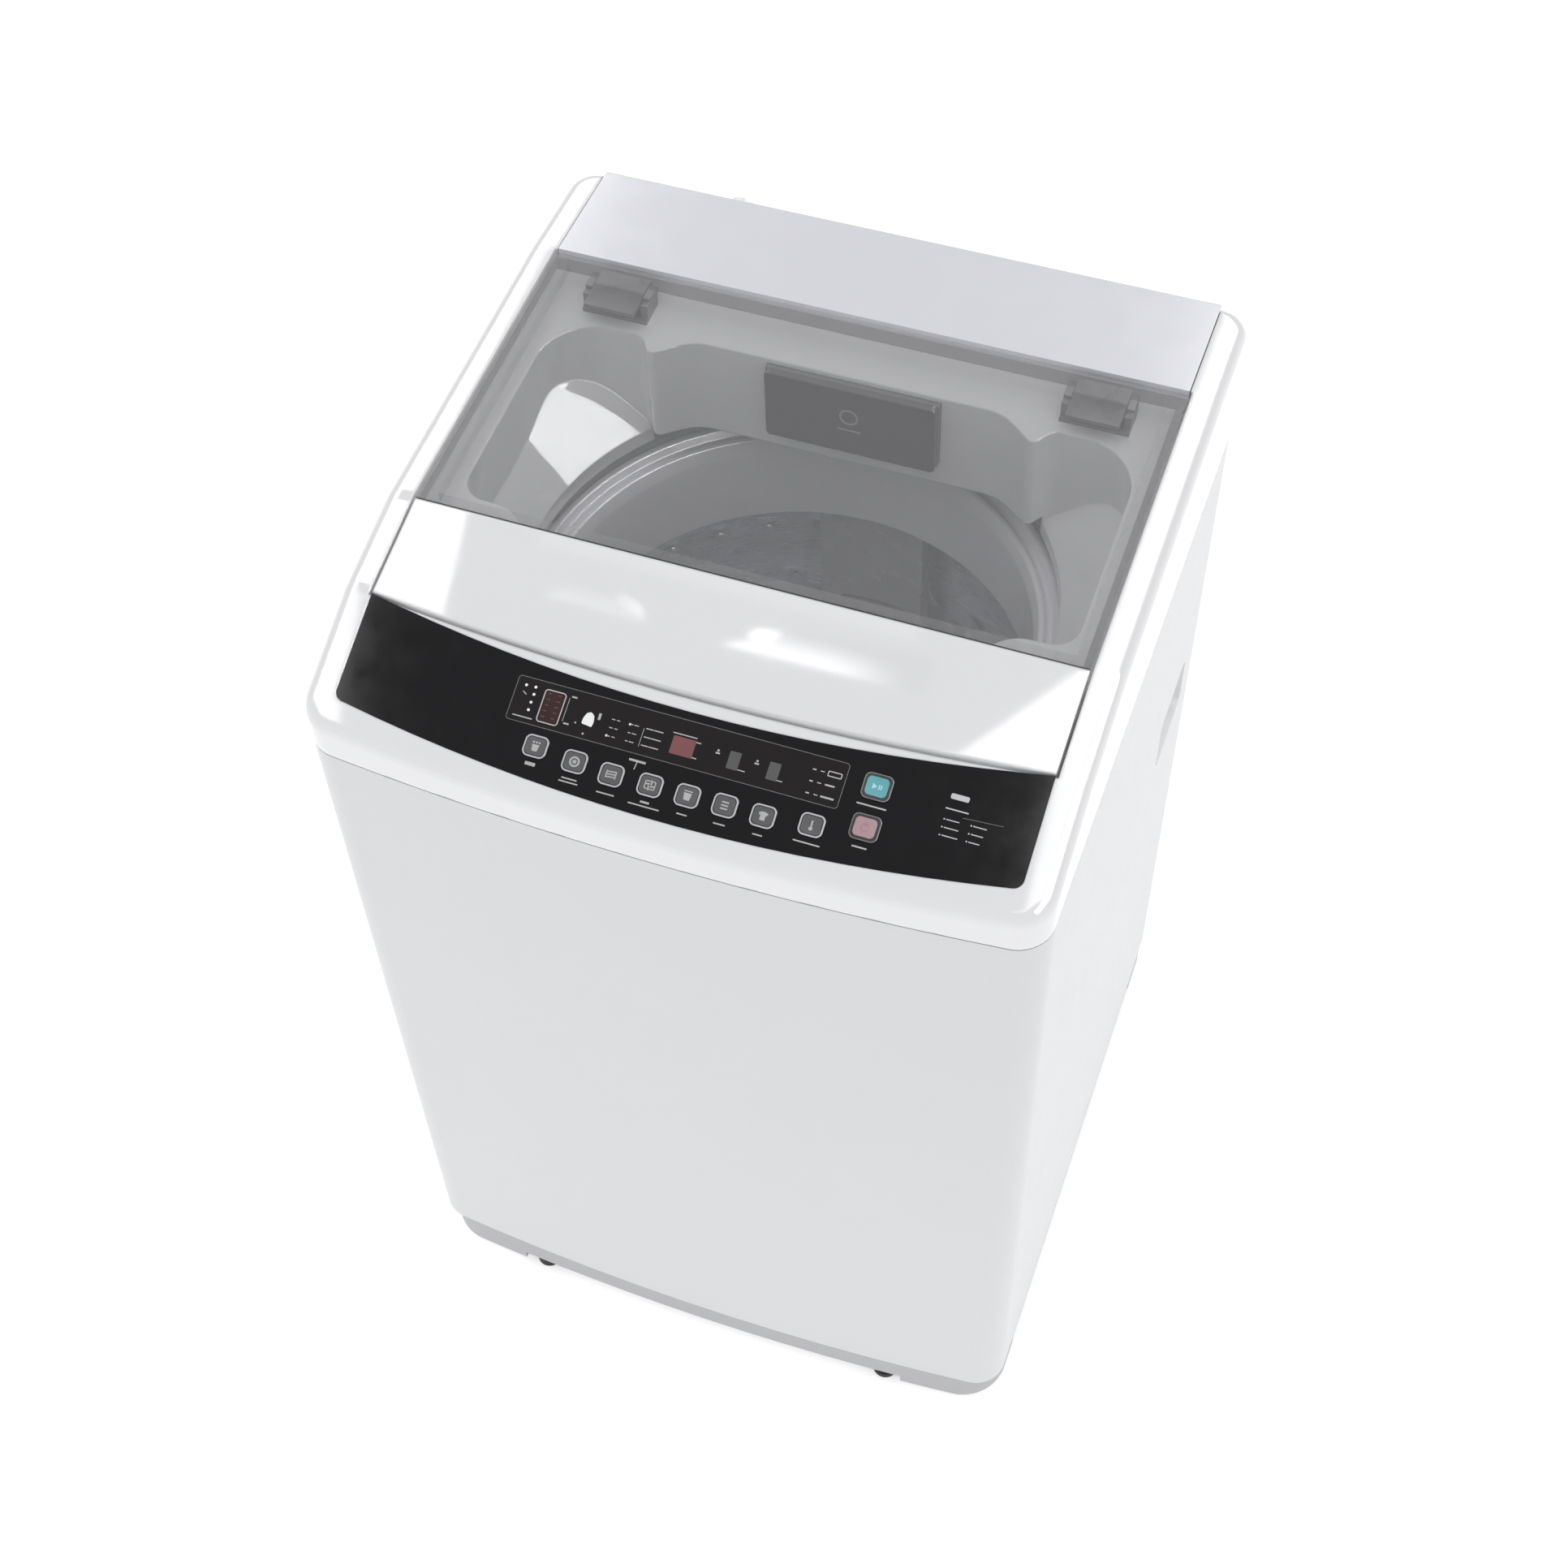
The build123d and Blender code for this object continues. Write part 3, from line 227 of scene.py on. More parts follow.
# ---- finishes ----
def finish(name, color, roughness, metallic=0.0, specular=0.5, alpha=1.0, tone=0.03, tone_scale=7.0,
           spread=0.05, spread_scale=45.0, grain=700.0, height=0.02, stretch=(1.0, 1.0, 1.0), edge=0.0):
    """A procedural finish: slow colour drift, uneven gloss, a fine texture and softly rounded edges."""
    made = bpy.data.materials.new(name)
    made.use_nodes = True
    nodes, links = made.node_tree.nodes, made.node_tree.links
    shader = nodes["Principled BSDF"]
    shader.inputs["Metallic"].default_value = metallic
    shader.inputs["Specular IOR Level"].default_value = specular
    shader.inputs["Alpha"].default_value = alpha
    place = nodes.new("ShaderNodeTexCoord")
    mapping = nodes.new("ShaderNodeMapping")
    mapping.inputs["Scale"].default_value = stretch
    links.new(place.outputs["Object"], mapping.inputs["Vector"])

    def noise(scale, detail):
        made_noise = nodes.new("ShaderNodeTexNoise")
        made_noise.inputs["Scale"].default_value = scale
        made_noise.inputs["Detail"].default_value = detail
        links.new(mapping.outputs["Vector"], made_noise.inputs["Vector"])
        return made_noise.outputs["Fac"]

    drift = nodes.new("ShaderNodeMix")
    drift.data_type = "RGBA"
    drift.inputs["A"].default_value = (*[c * (1 - tone) for c in color], 1)
    drift.inputs["B"].default_value = (*[min(1.0, c * (1 + tone)) for c in color], 1)
    links.new(noise(tone_scale, 3.0), drift.inputs["Factor"])
    links.new(drift.outputs["Result"], shader.inputs["Base Color"])
    gloss = nodes.new("ShaderNodeMapRange")
    gloss.inputs["From Min"].default_value = 0.3
    gloss.inputs["From Max"].default_value = 0.7
    gloss.inputs["To Min"].default_value = max(0.02, roughness - spread)
    gloss.inputs["To Max"].default_value = roughness + spread
    links.new(noise(spread_scale, 4.0), gloss.inputs["Value"])
    links.new(gloss.outputs["Result"], shader.inputs["Roughness"])
    bump = nodes.new("ShaderNodeBump")
    bump.inputs["Strength"].default_value = height
    bump.inputs["Distance"].default_value = MM
    links.new(noise(grain, 2.0), bump.inputs["Height"])
    links.new(bump.outputs["Normal"], shader.inputs["Normal"])
    if edge:
        bevel = nodes.new("ShaderNodeBevel")
        bevel.samples = 6
        bevel.inputs["Radius"].default_value = edge * MM
        links.new(bevel.outputs["Normal"], bump.inputs["Normal"])
    return made


FINISHES = {
    "white_sheet": finish("white_sheet", (0.665, 0.67, 0.68), 0.30, specular=0.2, tone=0.012, spread=0.02,
                          height=0.005, grain=260.0),
    "white_gloss": finish("white_gloss", (0.785, 0.785, 0.795), 0.035, tone=0.01, spread=0.008, height=0.003,
                          edge=3.0),
    "white_plastic": finish("white_plastic", (0.76, 0.76, 0.77), 0.38, height=0.08),
    "cool_gray_gloss": finish("cool_gray_gloss", (0.71, 0.71, 0.75), 0.16, spread=0.03, height=0.01),
    "gray_plastic": finish("gray_plastic", (0.43, 0.43, 0.44), 0.45, height=0.12),
    "zinc_steel": finish("zinc_steel", (0.62, 0.63, 0.65), 0.35, metallic=1.0, tone=0.1, tone_scale=60.0),
    "spring_steel": finish("spring_steel", (0.30, 0.31, 0.33), 0.30, metallic=1.0, tone=0.08),
    "black_rubber": finish("black_rubber", (0.03, 0.03, 0.03), 0.70, specular=0.3, height=0.2, tone=0.1),
    "black_panel": finish("black_panel", (0.006, 0.006, 0.007), 0.09, specular=0.2, spread=0.03,
                          height=0.004),
    "smoke_lens": finish("smoke_lens", (0.009, 0.007, 0.008), 0.12, specular=0.25, height=0.003, spread=0.02),
    "board": finish("board", (0.02, 0.10, 0.05), 0.35, tone=0.15, tone_scale=90.0),
    "dark_plastic": finish("dark_plastic", (0.16, 0.16, 0.165), 0.40, height=0.1, edge=1.0),
    "tub_plastic": finish("tub_plastic", (0.60, 0.61, 0.64), 0.45, height=0.1),
    "cast_aluminium": finish("cast_aluminium", (0.50, 0.51, 0.52), 0.48, metallic=1.0, tone=0.1, height=0.2),
    "stainless": finish("stainless", (0.60, 0.61, 0.63), 0.30, metallic=1.0, height=0.01,
                        stretch=(1.0, 1.0, 12.0)),
    "ring_plastic": finish("ring_plastic", (0.80, 0.80, 0.83), 0.22, height=0.03),
    "pulsator_plastic": finish("pulsator_plastic", (0.50, 0.50, 0.54), 0.30, height=0.05),
    "smoke_glass": finish("smoke_glass", (0.40, 0.40, 0.41), 0.05, alpha=0.20, specular=0.3, spread=0.01,
                          height=0.002),
    "smoke_frame": finish("smoke_frame", (0.55, 0.55, 0.56), 0.25, alpha=0.2, height=0.03),
    "edge_tint": finish("edge_tint", (0.05, 0.05, 0.055), 0.30, alpha=0.3, height=0.02),
    "hinge_light": finish("hinge_light", (0.17, 0.17, 0.18), 0.30, height=0.05),
    "filter_plastic": finish("filter_plastic", (0.36, 0.36, 0.38), 0.25, height=0.03),
    # dark finish for the seam strip: painted shade standing in for the shadow in the gap under the top
    "seam_dark": finish("seam_dark", (0.06, 0.06, 0.06), 0.60, specular=0.2, height=0.1),
    "drawer_plastic": finish("drawer_plastic", (0.06, 0.06, 0.07), 0.30, spread=0.02, height=0.006),
    "key_plastic": finish("key_plastic", (0.022, 0.022, 0.024), 0.30, specular=0.3, height=0.05),
    "key_field": finish("key_field", (0.075, 0.075, 0.078), 0.35, specular=0.3, height=0.05),
    "print_light": finish("print_light", (0.40, 0.40, 0.41), 0.45, height=0.1),
    "print_gray": finish("print_gray", (0.34, 0.34, 0.34), 0.45, height=0.1),
    "print_dim": finish("print_dim", (0.085, 0.085, 0.09), 0.40, height=0.1),
    "print_white": finish("print_white", (0.78, 0.78, 0.78), 0.45, height=0.1),
    "print_black": finish("print_black", (0.012, 0.012, 0.013), 0.40, specular=0.2, height=0.1),
    "start_cap": finish("start_cap", (0.10, 0.36, 0.41), 0.22, height=0.02),
    "power_cap": finish("power_cap", (0.42, 0.26, 0.29), 0.22, height=0.02),
    "start_cap_print": finish("start_cap_print", (0.32, 0.62, 0.66), 0.35, height=0.05),
    "power_cap_print": finish("power_cap_print", (0.30, 0.16, 0.19), 0.35, height=0.05),
    "red_glow": finish("red_glow", (0.21, 0.075, 0.08), 0.20, specular=0.3, height=0.01),
    "red_dark": finish("red_dark", (0.035, 0.012, 0.012), 0.15, specular=0.3, height=0.01),
    "red_mid": finish("red_mid", (0.11, 0.045, 0.045), 0.20, specular=0.3, height=0.01),
    "digit_gray": finish("digit_gray", (0.10, 0.10, 0.10), 0.20, specular=0.3, height=0.01),
}
# nodes whose finish differs from the one named by their material slot
OWN_FINISH = {"lid_hinges": "hinge_light", "lint_filters": "filter_plastic"}


def paint_nodes():
    """Give every CAD node the finish of its material slot."""
    for row in frame["record"]["subparts"]:
        mesh = NODES[row["node"]].data
        mesh.materials.clear()
        mesh.materials.append(FINISHES[OWN_FINISH.get(row["node"], row["material_slot"])])


# ---- building blocks ----
def solid(name, mesh_data, body, slot, finish_name=None, stands_for=(), smooth=40.0):
    """Link a mesh made of (vertices, faces), give it its finish and let it ride on its body."""
    vertices, faces = mesh_data
    mesh = bpy.data.meshes.new(name)
    mesh.from_pydata(vertices, [], faces)
    work = bmesh.new()
    work.from_mesh(mesh)
    bmesh.ops.remove_doubles(work, verts=work.verts, dist=1e-6)
    bmesh.ops.recalc_face_normals(work, faces=work.faces)
    work.to_mesh(mesh)
    work.free()
    mesh.shade_smooth()
    mesh.set_sharp_from_angle(angle=math.radians(smooth))
    mesh.materials.append(FINISHES[finish_name or slot])
    piece = bpy.data.objects.new(name, mesh)
    bpy.context.scene.collection.objects.link(piece)
    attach(piece, body)
    if stands_for:
        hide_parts(*stands_for)
    return piece


def thicken(piece, thickness, offset=-1.0):
    """Turn a sheet into a plate by a solidify modifier, applied to the mesh."""
    modifier = piece.modifiers.new("plate", "SOLIDIFY")
    modifier.thickness = thickness
    modifier.offset = offset
    apply_modifiers(piece)


def apply_modifiers(piece):
    """Replace the mesh by what its modifiers make of it."""
    graph = bpy.context.evaluated_depsgraph_get()
    made = bpy.data.meshes.new_from_object(piece.evaluated_get(graph))
    piece.modifiers.clear()
    piece.data = made


def softened(points, radius, steps=4):
    """A closed outline with each corner rounded by a small arc, at most a third of its shorter side."""
    made = []
    count = len(points)
    for index, corner in enumerate(points):
        here = Vector(corner)
        before = Vector(points[index - 1]) - here
        after = Vector(points[(index + 1) % count]) - here
        reach = min(radius, before.length / 3, after.length / 3)
        start = here + before.normalized() * reach
        end = here + after.normalized() * reach
        for step in range(steps + 1):
            t = step / steps
            made.append(tuple(start * (1 - t) ** 2 + here * 2 * t * (1 - t) + end * t * t))
    return made


def lathe(profile, centre, segments):
    """Vertices and faces of a closed (radius, height) outline turned about a vertical line."""
    rows = len(profile)
    vertices = []
    for step in range(segments):
        angle = 2 * math.pi * step / segments
        for radius, height in profile:
            across, along = radius * math.cos(angle), radius * math.sin(angle)
            vertices.append((centre[0] + across, centre[1] + along, height))
    faces = []
    for step in range(segments):
        ahead = (step + 1) % segments
        for row in range(rows):
            up = (row + 1) % rows
            faces.append((step * rows + row, ahead * rows + row, ahead * rows + up, step * rows + up))
    return vertices, faces


def perforated(columns, rows, place, has_hole, hole):
    """A sheet of cells wrapped round by place(u, v), u and v in cells, some with a round hole.

    The sheet closes on itself along u. hole(column, row) gives the reach of a hole along u and v, in cells.
    """
    vertices, faces, index = [], [], {}

    def point(key, u, v):
        if key not in index:
            index[key] = len(vertices)
            vertices.append(place(u, v))
        return index[key]

    ring = [(-1, -1), (0, -1), (1, -1), (1, 0), (1, 1), (0, 1), (-1, 1), (-1, 0)]
    for column in range(columns):
        for row in range(rows):
            u, v = column + 0.5, row + 0.5
            rim = []
            for du, dv in ring:
                i, j = (2 * column + 1 + du) % (2 * columns), 2 * row + 1 + dv
                rim.append(point(("grid", i, j), u + du / 2, v + dv / 2))
            if has_hole(column, row):
                inner = []
                for number, (du, dv) in enumerate(ring):
                    length = math.hypot(du, dv)
                    across, along = hole(column, row)
                    spot = (u + du / length * across, v + dv / length * along)
                    inner.append(point(("hole", column, row, number), *spot))
                for number in range(8):
                    after = (number + 1) % 8
                    faces.append((rim[number], rim[after], inner[after], inner[number]))
            else:
                middle = point(("middle", column, row), u, v)
                for number in range(0, 8, 2):
                    faces.append((rim[number], rim[number + 1], middle, rim[number - 1]))
    return vertices, faces


# ---- flat frames on the sloping panel ----
def face_frame(node):
    """Centre, right, up-slope and outward directions of a node's largest flat top, in metres."""
    mesh = NODES[node].data
    areas = {}
    for face in mesh.polygons:
        if face.normal.z > 0.5:
            key = tuple(round(c, 2) for c in face.normal)
            areas[key] = areas.get(key, 0.0) + face.area
    normal = Vector(max(areas, key=areas.get)).normalized()
    flat = [face for face in mesh.polygons if face.normal.dot(normal) > 0.9995]
    normal = sum((face.normal * face.area for face in flat), Vector()).normalized()
    right = Vector((1, 0, 0))
    up = normal.cross(right)
    corners = [mesh.vertices[v].co for face in flat for v in face.vertices]
    height = max(c.dot(normal) for c in corners)
    spans = [(min(c.dot(way) for c in corners), max(c.dot(way) for c in corners)) for way in (right, up)]
    middle = right * sum(spans[0]) / 2 + up * sum(spans[1]) / 2 + normal * height
    return middle, right, up, normal


def rounded_box(x, y, width, height, radius, steps=5):
    """Outline of a rounded rectangle about (x, y), in millimetres."""
    radius = min(radius, width / 2, height / 2)
    points = []
    corners = ((1, 1, 0), (-1, 1, 90), (-1, -1, 180), (1, -1, 270))
    for side, level, start in corners:
        for step in range(steps + 1):
            angle = math.radians(start + 90 * step / steps)
            points.append((
                x + side * (width / 2 - radius) + radius * math.cos(angle),
                y + level * (height / 2 - radius) + radius * math.sin(angle),
            ))
    return points


def disc(x, y, radius, count=20):
    """Outline of a circle."""
    return [(x + radius * math.cos(2 * math.pi * k / count), y + radius * math.sin(2 * math.pi * k / count))
            for k in range(count)]


def stroke(x0, y0, x1, y1, width):
    """Outline of a straight printed line."""
    along = Vector((x1 - x0, y1 - y0)).normalized() * width / 2
    side = Vector((-along.y, along.x))
    a, b = Vector((x0, y0)), Vector((x1, y1))
    return [tuple(p) for p in (a - along - side, b + along - side, b + along + side, a - along + side)]


def printed(name, plane, fills, rings, body, slot, finish_name, lift=0.0, depth=0.09):
    """Raised print on a flat face: filled outlines and rings between two outlines, in millimetres."""
    middle, right, up, normal = plane
    vertices, faces = [], []

    def spot(point, high):
        return middle + (right * point[0] + up * point[1] + normal * high) * MM

    for outline in fills:
        start, count = len(vertices), len(outline)
        vertices += [spot(p, lift) for p in outline] + [spot(p, lift + depth) for p in outline]
        faces.append(tuple(start + count + k for k in range(count)))
        faces.append(tuple(start + k for k in reversed(range(count))))
        for k in range(count):
            after = (k + 1) % count
            faces.append((start + k, start + after, start + count + after, start + count + k))
    for outer, inner in rings:
        start, count = len(vertices), len(outer)
        for outline, high in ((outer, lift), (outer, lift + depth), (inner, lift + depth), (inner, lift)):
            vertices += [spot(p, high) for p in outline]
        for k in range(count):
            after = (k + 1) % count
            for layer in range(4):
                below, above = start + layer * count, start + (layer + 1) % 4 * count
                faces.append((below + k, below + after, above + after, above + k))
    return solid(name, (vertices, faces), body, slot, finish_name, smooth=30.0)


def frame_ring(x, y, width, height, radius, line):
    """A rounded rectangular line as an outer and an inner outline."""
    return (rounded_box(x, y, width, height, radius),
            rounded_box(x, y, width - 2 * line, height - 2 * line, max(0.3, radius - line)))


# ---- control panel ----
KEY_NAMES = sorted(name for name in NODES if name.startswith("button_"))
KEY_RING = 1.1
KEY_EDGE = 0.9
KEY_SKIRT = 3.0
SMALL_KEY = (19.0, 17.5)
LARGE_KEY = (22.0, 20.0)
SMALL_LIMIT = 20.5


def key_size(node):
    """Width and depth of a key's flat top, in millimetres."""
    low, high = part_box(node)
    width = (high.x - low.x) / MM - KEY_SKIRT
    like = SMALL_KEY if width < SMALL_LIMIT else LARGE_KEY
    return width, width * (like[1] / like[0])


def bucket(x, y, size):
    """Outline of a small tub, wider at its top."""
    return [(x - size * 0.36, y - size * 0.45), (x + size * 0.36, y - size * 0.45),
            (x + size * 0.5, y + size * 0.45), (x - size * 0.5, y + size * 0.45)]


def key_icons():
    """A generic pictogram for each key: filled outlines and rings."""
    shirt = [(-3.6, 2.2), (-1.4, 3.2), (1.4, 3.2), (3.6, 2.2), (2.6, 0.2), (1.9, 0.6), (1.9, -3.2),
             (-1.9, -3.2), (-1.9, 0.6), (-2.6, 0.2)]
    waves = [stroke(-3, h, 3, h + 0.5, 0.9) for h in (-2.0, 0.0, 2.0)]
    spokes = []
    for step in range(4):
        angle = math.radians(45 + 90 * step)
        spokes.append(stroke(1.2 * math.cos(angle), 1.2 * math.sin(angle), 3.4 * math.cos(angle + 0.6),
                             3.4 * math.sin(angle + 0.6), 1.1))
    pause = [rounded_box(1.6, 0, 0.9, 3.6, 0.2), rounded_box(3.2, 0, 0.9, 3.6, 0.2)]
    play = [(-3.4, 2.2), (-3.4, -2.2), (0.2, 0)]
    return {
        "button_soak": ([bucket(0, -1.2, 5.6), *[disc(h, 3.0, 0.8) for h in (-2.2, 0.0, 2.2)]], []),
        "button_wash": ([disc(0, 0, 1.5)], [(disc(0, 0, 4.0), disc(0, 0, 2.6))]),
        "button_rinse": (waves + [rounded_box(h, 0, 0.8, 5.6, 0.3) for h in (-3.6, 3.6)], []),
        "button_spin": (spokes, [frame_ring(0, 0, 8.4, 6.6, 1.2, 0.8)]),
        "button_level": ([bucket(0, -0.6, 6.0), rounded_box(0, 3.4, 6.4, 0.8, 0.3)], []),
        "button_program": ([rounded_box(0, h, 5.4, 1.1, 0.4) for h in (-2.4, 0.0, 2.4)], []),
        "button_delay": ([shirt], []),
        "button_dry": ([rounded_box(0, 0.8, 1.3, 5.2, 0.6), disc(0, -2.6, 1.5)], []),
        "button_start": ([play, *pause], []),
        "button_power": ([rounded_box(0, 2.2, 0.9, 3.0, 0.3)], [(disc(0, -0.2, 3.2), disc(0, -0.2, 2.4))]),
    }


def dress_keys():
    """Printed ring and pictogram on each key; the two large keys have a tinted cap."""
    icons = key_icons()
    tints = {"button_start": "start_cap", "button_power": "power_cap"}
    for name in KEY_NAMES:
        plane = face_frame(name)
        width, depth = key_size(name)
        word = name.replace("button_", "")
        fills, rings = icons[name]
        if name in tints:
            cap_high = 0.5
            tint = tints[name]
            ring = frame_ring(0, 0, width - KEY_EDGE, depth - KEY_EDGE, 4.6, 0.7)
            printed(word + "_key_ring", plane, [], [ring], name, "key_plastic", "print_dim")
            cap = rounded_box(0, 0, width - 6.0, depth - 6.0, 3.2)
            printed(word + "_key_cap", plane, [cap], [], name, "key_plastic", tint, depth=cap_high)
            icon_tint = tint + "_print"
            printed(word + "_key_icon", plane, fills, rings, name, "key_plastic", icon_tint, lift=cap_high)
        else:
            ring = frame_ring(0, 0, width - KEY_EDGE, depth - KEY_EDGE, 4.6, KEY_RING)
            field = rounded_box(0, 0, width - 4.6, depth - 4.6, 3.0)
            printed(word + "_key_ring", plane, [], [ring], name, "key_plastic", "print_light")
            printed(word + "_key_field", plane, [field], [], name, "key_plastic", "key_field", depth=0.05)
            printed(word + "_key_icon", plane, fills, rings, name, "key_plastic", "print_gray", lift=0.05)


def key_captions():
    """Plain dashes under the keys: the width, height and vertical shift of each."""
    dashes = {
        "button_soak": [(8.0, 2.6, 0.0)],
        "button_wash": [(12.0, 1.0, 0.2), (15.0, 1.0, -2.4)],
        "button_rinse": [(14.0, 1.0, -1.0)],
        "button_spin": [(7.0, 1.5, 0.4), (24.0, 1.0, -2.6)],
        "button_level": [(8.0, 1.0, -0.6)],
        "button_program": [(9.0, 1.0, -0.6)],
        "button_delay": [(7.5, 1.0, -0.6)],
        "button_dry": [(20.0, 1.0, 0.0)],
        "button_start": [(22.0, 1.1, 0.3)],
        "button_power": [(11.0, 1.1, 0.0)],
    }
    below = 4.6
    fills = []
    middle, right, up, _ = face_frame("display_window")
    for name, rows in dashes.items():
        centre = face_frame(name)[0] - middle
        _, depth = key_size(name)
        for width, height, drop in rows:
            x = centre.dot(right) / MM
            y = centre.dot(up) / MM - depth / 2 - below + drop
            fills.append(rounded_box(x, y, width, height, 0.4))
    return fills


def display_prints():
    """Lines, lamps and digit windows of the display, measured from the middle of its lens."""
    plane = face_frame("display_window")
    low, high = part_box("display_window")
    wide = (high.x - low.x) / MM
    tall = math.hypot(high.y - low.y, high.z - low.z) / MM
    outline = frame_ring(0, 0, wide - 0.6, tall - 0.8, 2.6, 0.45)
    printed("display_outline", plane, [], [outline], "cabinet", "smoke_lens", "print_dim")
    lamps = [disc(x, y, 1.1, 14) for x, y in ((-120.5, 10.8), (-113.1, 11.0), (-112.7, 5.4), (-112.9, -0.8),
                                              (-112.9, -6.7))]
    lamps += [disc(x, y, 0.9, 14) for x, y in ((-50.4, -9.7), (-36.0, 2.8))]
    drum = softened([(-71.5, -6.0), (-71.2, -1.5), (-69.5, 2.6), (-66.5, 3.9), (-63.6, 1.8), (-62.6, -3.0),
                     (-63.2, -7.0), (-66.8, -6.4)], 2.0)
    printed("display_lamps", plane, lamps + [drum], [], "cabinet", "smoke_lens", "print_white")
    lines = [stroke(-123, -12.8, -108.6, -12.8, 0.9), stroke(-118.6, 4.2, -121.0, 5.6, 0.8)]
    lines += [stroke(-83.8, y, -80.8, y, 1.2) for y in (11.2, -9.3)] + [stroke(-85.6, -8.0, -85.6, 9.6, 0.4)]
    lines += [rounded_box(-59.6, 2.3, 2.0, 5.0, 0.4), disc(-67.8, -13.1, 0.8, 12), disc(-75.8, -6.6, 0.7, 12)]
    for y in (3.0, -3.4, -9.7):
        lines += [stroke(-50.0, y, -48.0, y, 0.7), stroke(-46.0, y, -44.2, y, 0.7)]
        lines += [stroke(-35.5, y, -34.0, y, 0.7), stroke(-32.4, y, -29.6, y, 0.7)]
        lines += [stroke(-23.0, y, -18.4, y, 0.8), stroke(-17.2, y, -10.6, y, 0.8)]
    lines += [stroke(-25.0, -11.2, -25.0, 2.6, 0.35), stroke(-3.0, 5.6, 14.8, 5.6, 0.8)]
    lines += [stroke(15.6, y, 18.6, y, 0.8) for y in (2.7, -8.9)] + [stroke(50.6, -8.6, 55.6, -8.6, 0.7)]
    lines += [stroke(80.4, -8.5, 84.0, -8.5, 0.7)]
    for x in (32.8, 62.5):
        lines += [disc(x, 1.4, 0.9, 12), rounded_box(x, -0.6, 3.4, 1.2, 0.4)]
    for y in (6.6, -2.1, -11.1):
        lines += [stroke(103.2, y, 104.8, y, 1.0), stroke(109.0, y, 111.2, y, 0.7)]
    lines += [stroke(115.0, -2.1, 121.0, -2.1, 1.2), stroke(114.4, -11.1, 123.0, -11.1, 1.3)]
    printed("display_lines", plane, lines, [], "cabinet", "smoke_lens", "print_gray")
    column = frame_ring(-96.8, -0.6, 17.0, 25.4, 2.6, 0.8)
    badge = frame_ring(119.3, 6.4, 10.6, 4.2, 0.9, 0.7)
    printed("display_frames", plane, [], [column, badge], "cabinet", "smoke_lens", "print_light")
    printed("column_window", plane, [rounded_box(-96.8, -0.6, 14.6, 23.2, 1.6)], [], "cabinet", "smoke_lens",
            "red_dark", depth=0.05)
    segments = []
    for x in (-101.0, -93.2):
        segments += [rounded_box(x, y, 2.8, 0.9, 0.4) for y in (9.0, 4.6, 0.2, -4.2, -8.6)]
    printed("column_segments", plane, segments, [], "cabinet", "smoke_lens", "red_mid", lift=0.05)
    window = rounded_box(6.6, -3.0, 17.4, 13.6, 0.8)
    printed("time_window", plane, [window], [], "cabinet", "smoke_lens", "red_glow")
    digits = [rounded_box(x, -2.9, 8.6, 13.2, 0.9) for x in (45.8, 75.9)]
    printed("level_windows", plane, digits, [], "cabinet", "smoke_lens", "digit_gray")


def panel_prints():
    """Dashes under the keys and the block of plain lines at the right."""
    plane = face_frame("display_window")
    fills = key_captions()
    fills += [stroke(-27.6, -21.9, -16.4, -21.9, 1.6), stroke(-22.6, -28.0, -22.0, -23.0, 0.7)]
    printed("key_captions", plane, fills, [], "cabinet", "black_panel", "print_gray", depth=0.1)
    lines = [stroke(202.1, 4.8, 218.0, 4.8, 0.9)]
    for row, y in enumerate((-3.1, -9.0, -14.8)):
        lines += [disc(203.0, y, 0.6, 10), stroke(204.8, y, 213.6 + row, y, 0.7)]
        lines += [disc(222.6, y + 0.2, 0.6, 10), stroke(224.4, y + 0.2, 233.6 - row, y + 0.2, 0.7)]
    lines += [rounded_box(209.6, 14.2, 13.4, 4.0, 1.2)]
    printed("panel_lines", plane, lines, [], "cabinet", "black_panel", "print_light", depth=0.1)
    rule = [stroke(215.6, 0.8, 244.4, 2.4, 0.3)]
    printed("panel_rule", plane, rule, [], "cabinet", "black_panel", "print_dim", depth=0.1)


# ---- basket, ring and pulsator ----
def basket_centre():
    """Axis of the basket in plan, from the drum's box."""
    low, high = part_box("basket_drum")
    return ((low.x + high.x) / 2, (low.y + high.y) / 2)


def add_basket():
    """Perforated steel drum with two pressed beads."""
    low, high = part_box("basket_drum")
    centre = basket_centre()
    sheet = 0.8 * MM
    radius = (high.x - low.x) / 2 - sheet / 2
    columns, rows = 64, 24
    beads = (0.36, 0.70)
    bead_depth, bead_width = 2.2 * MM, 0.012

    def place(u, v):
        share = v / rows
        bulge = sum(bead_depth * math.exp(-((share - bead) / bead_width) ** 2) for bead in beads)
        angle = 2 * math.pi * u / columns
        reach = radius - bulge
        return (centre[0] + reach * math.cos(angle), centre[1] + reach * math.sin(angle),
                low.z + (high.z - low.z) * share)

    def has_hole(column, row):
        bead_row = any(abs(row + 0.5 - bead * rows) < 1.0 for bead in beads)
        return 1 < row < rows - 3 and (column + row) % 2 == 0 and not bead_row

    hole_radius = 2.2 * MM
    size = (hole_radius * columns / (2 * math.pi * radius), hole_radius * rows / (high.z - low.z))
    wall = perforated(columns, rows, place, has_hole, lambda column, row: size)
    drum = solid("basket_wall", wall, "basket", "stainless", stands_for=["basket_drum"])
    thicken(drum, sheet, offset=0.0)


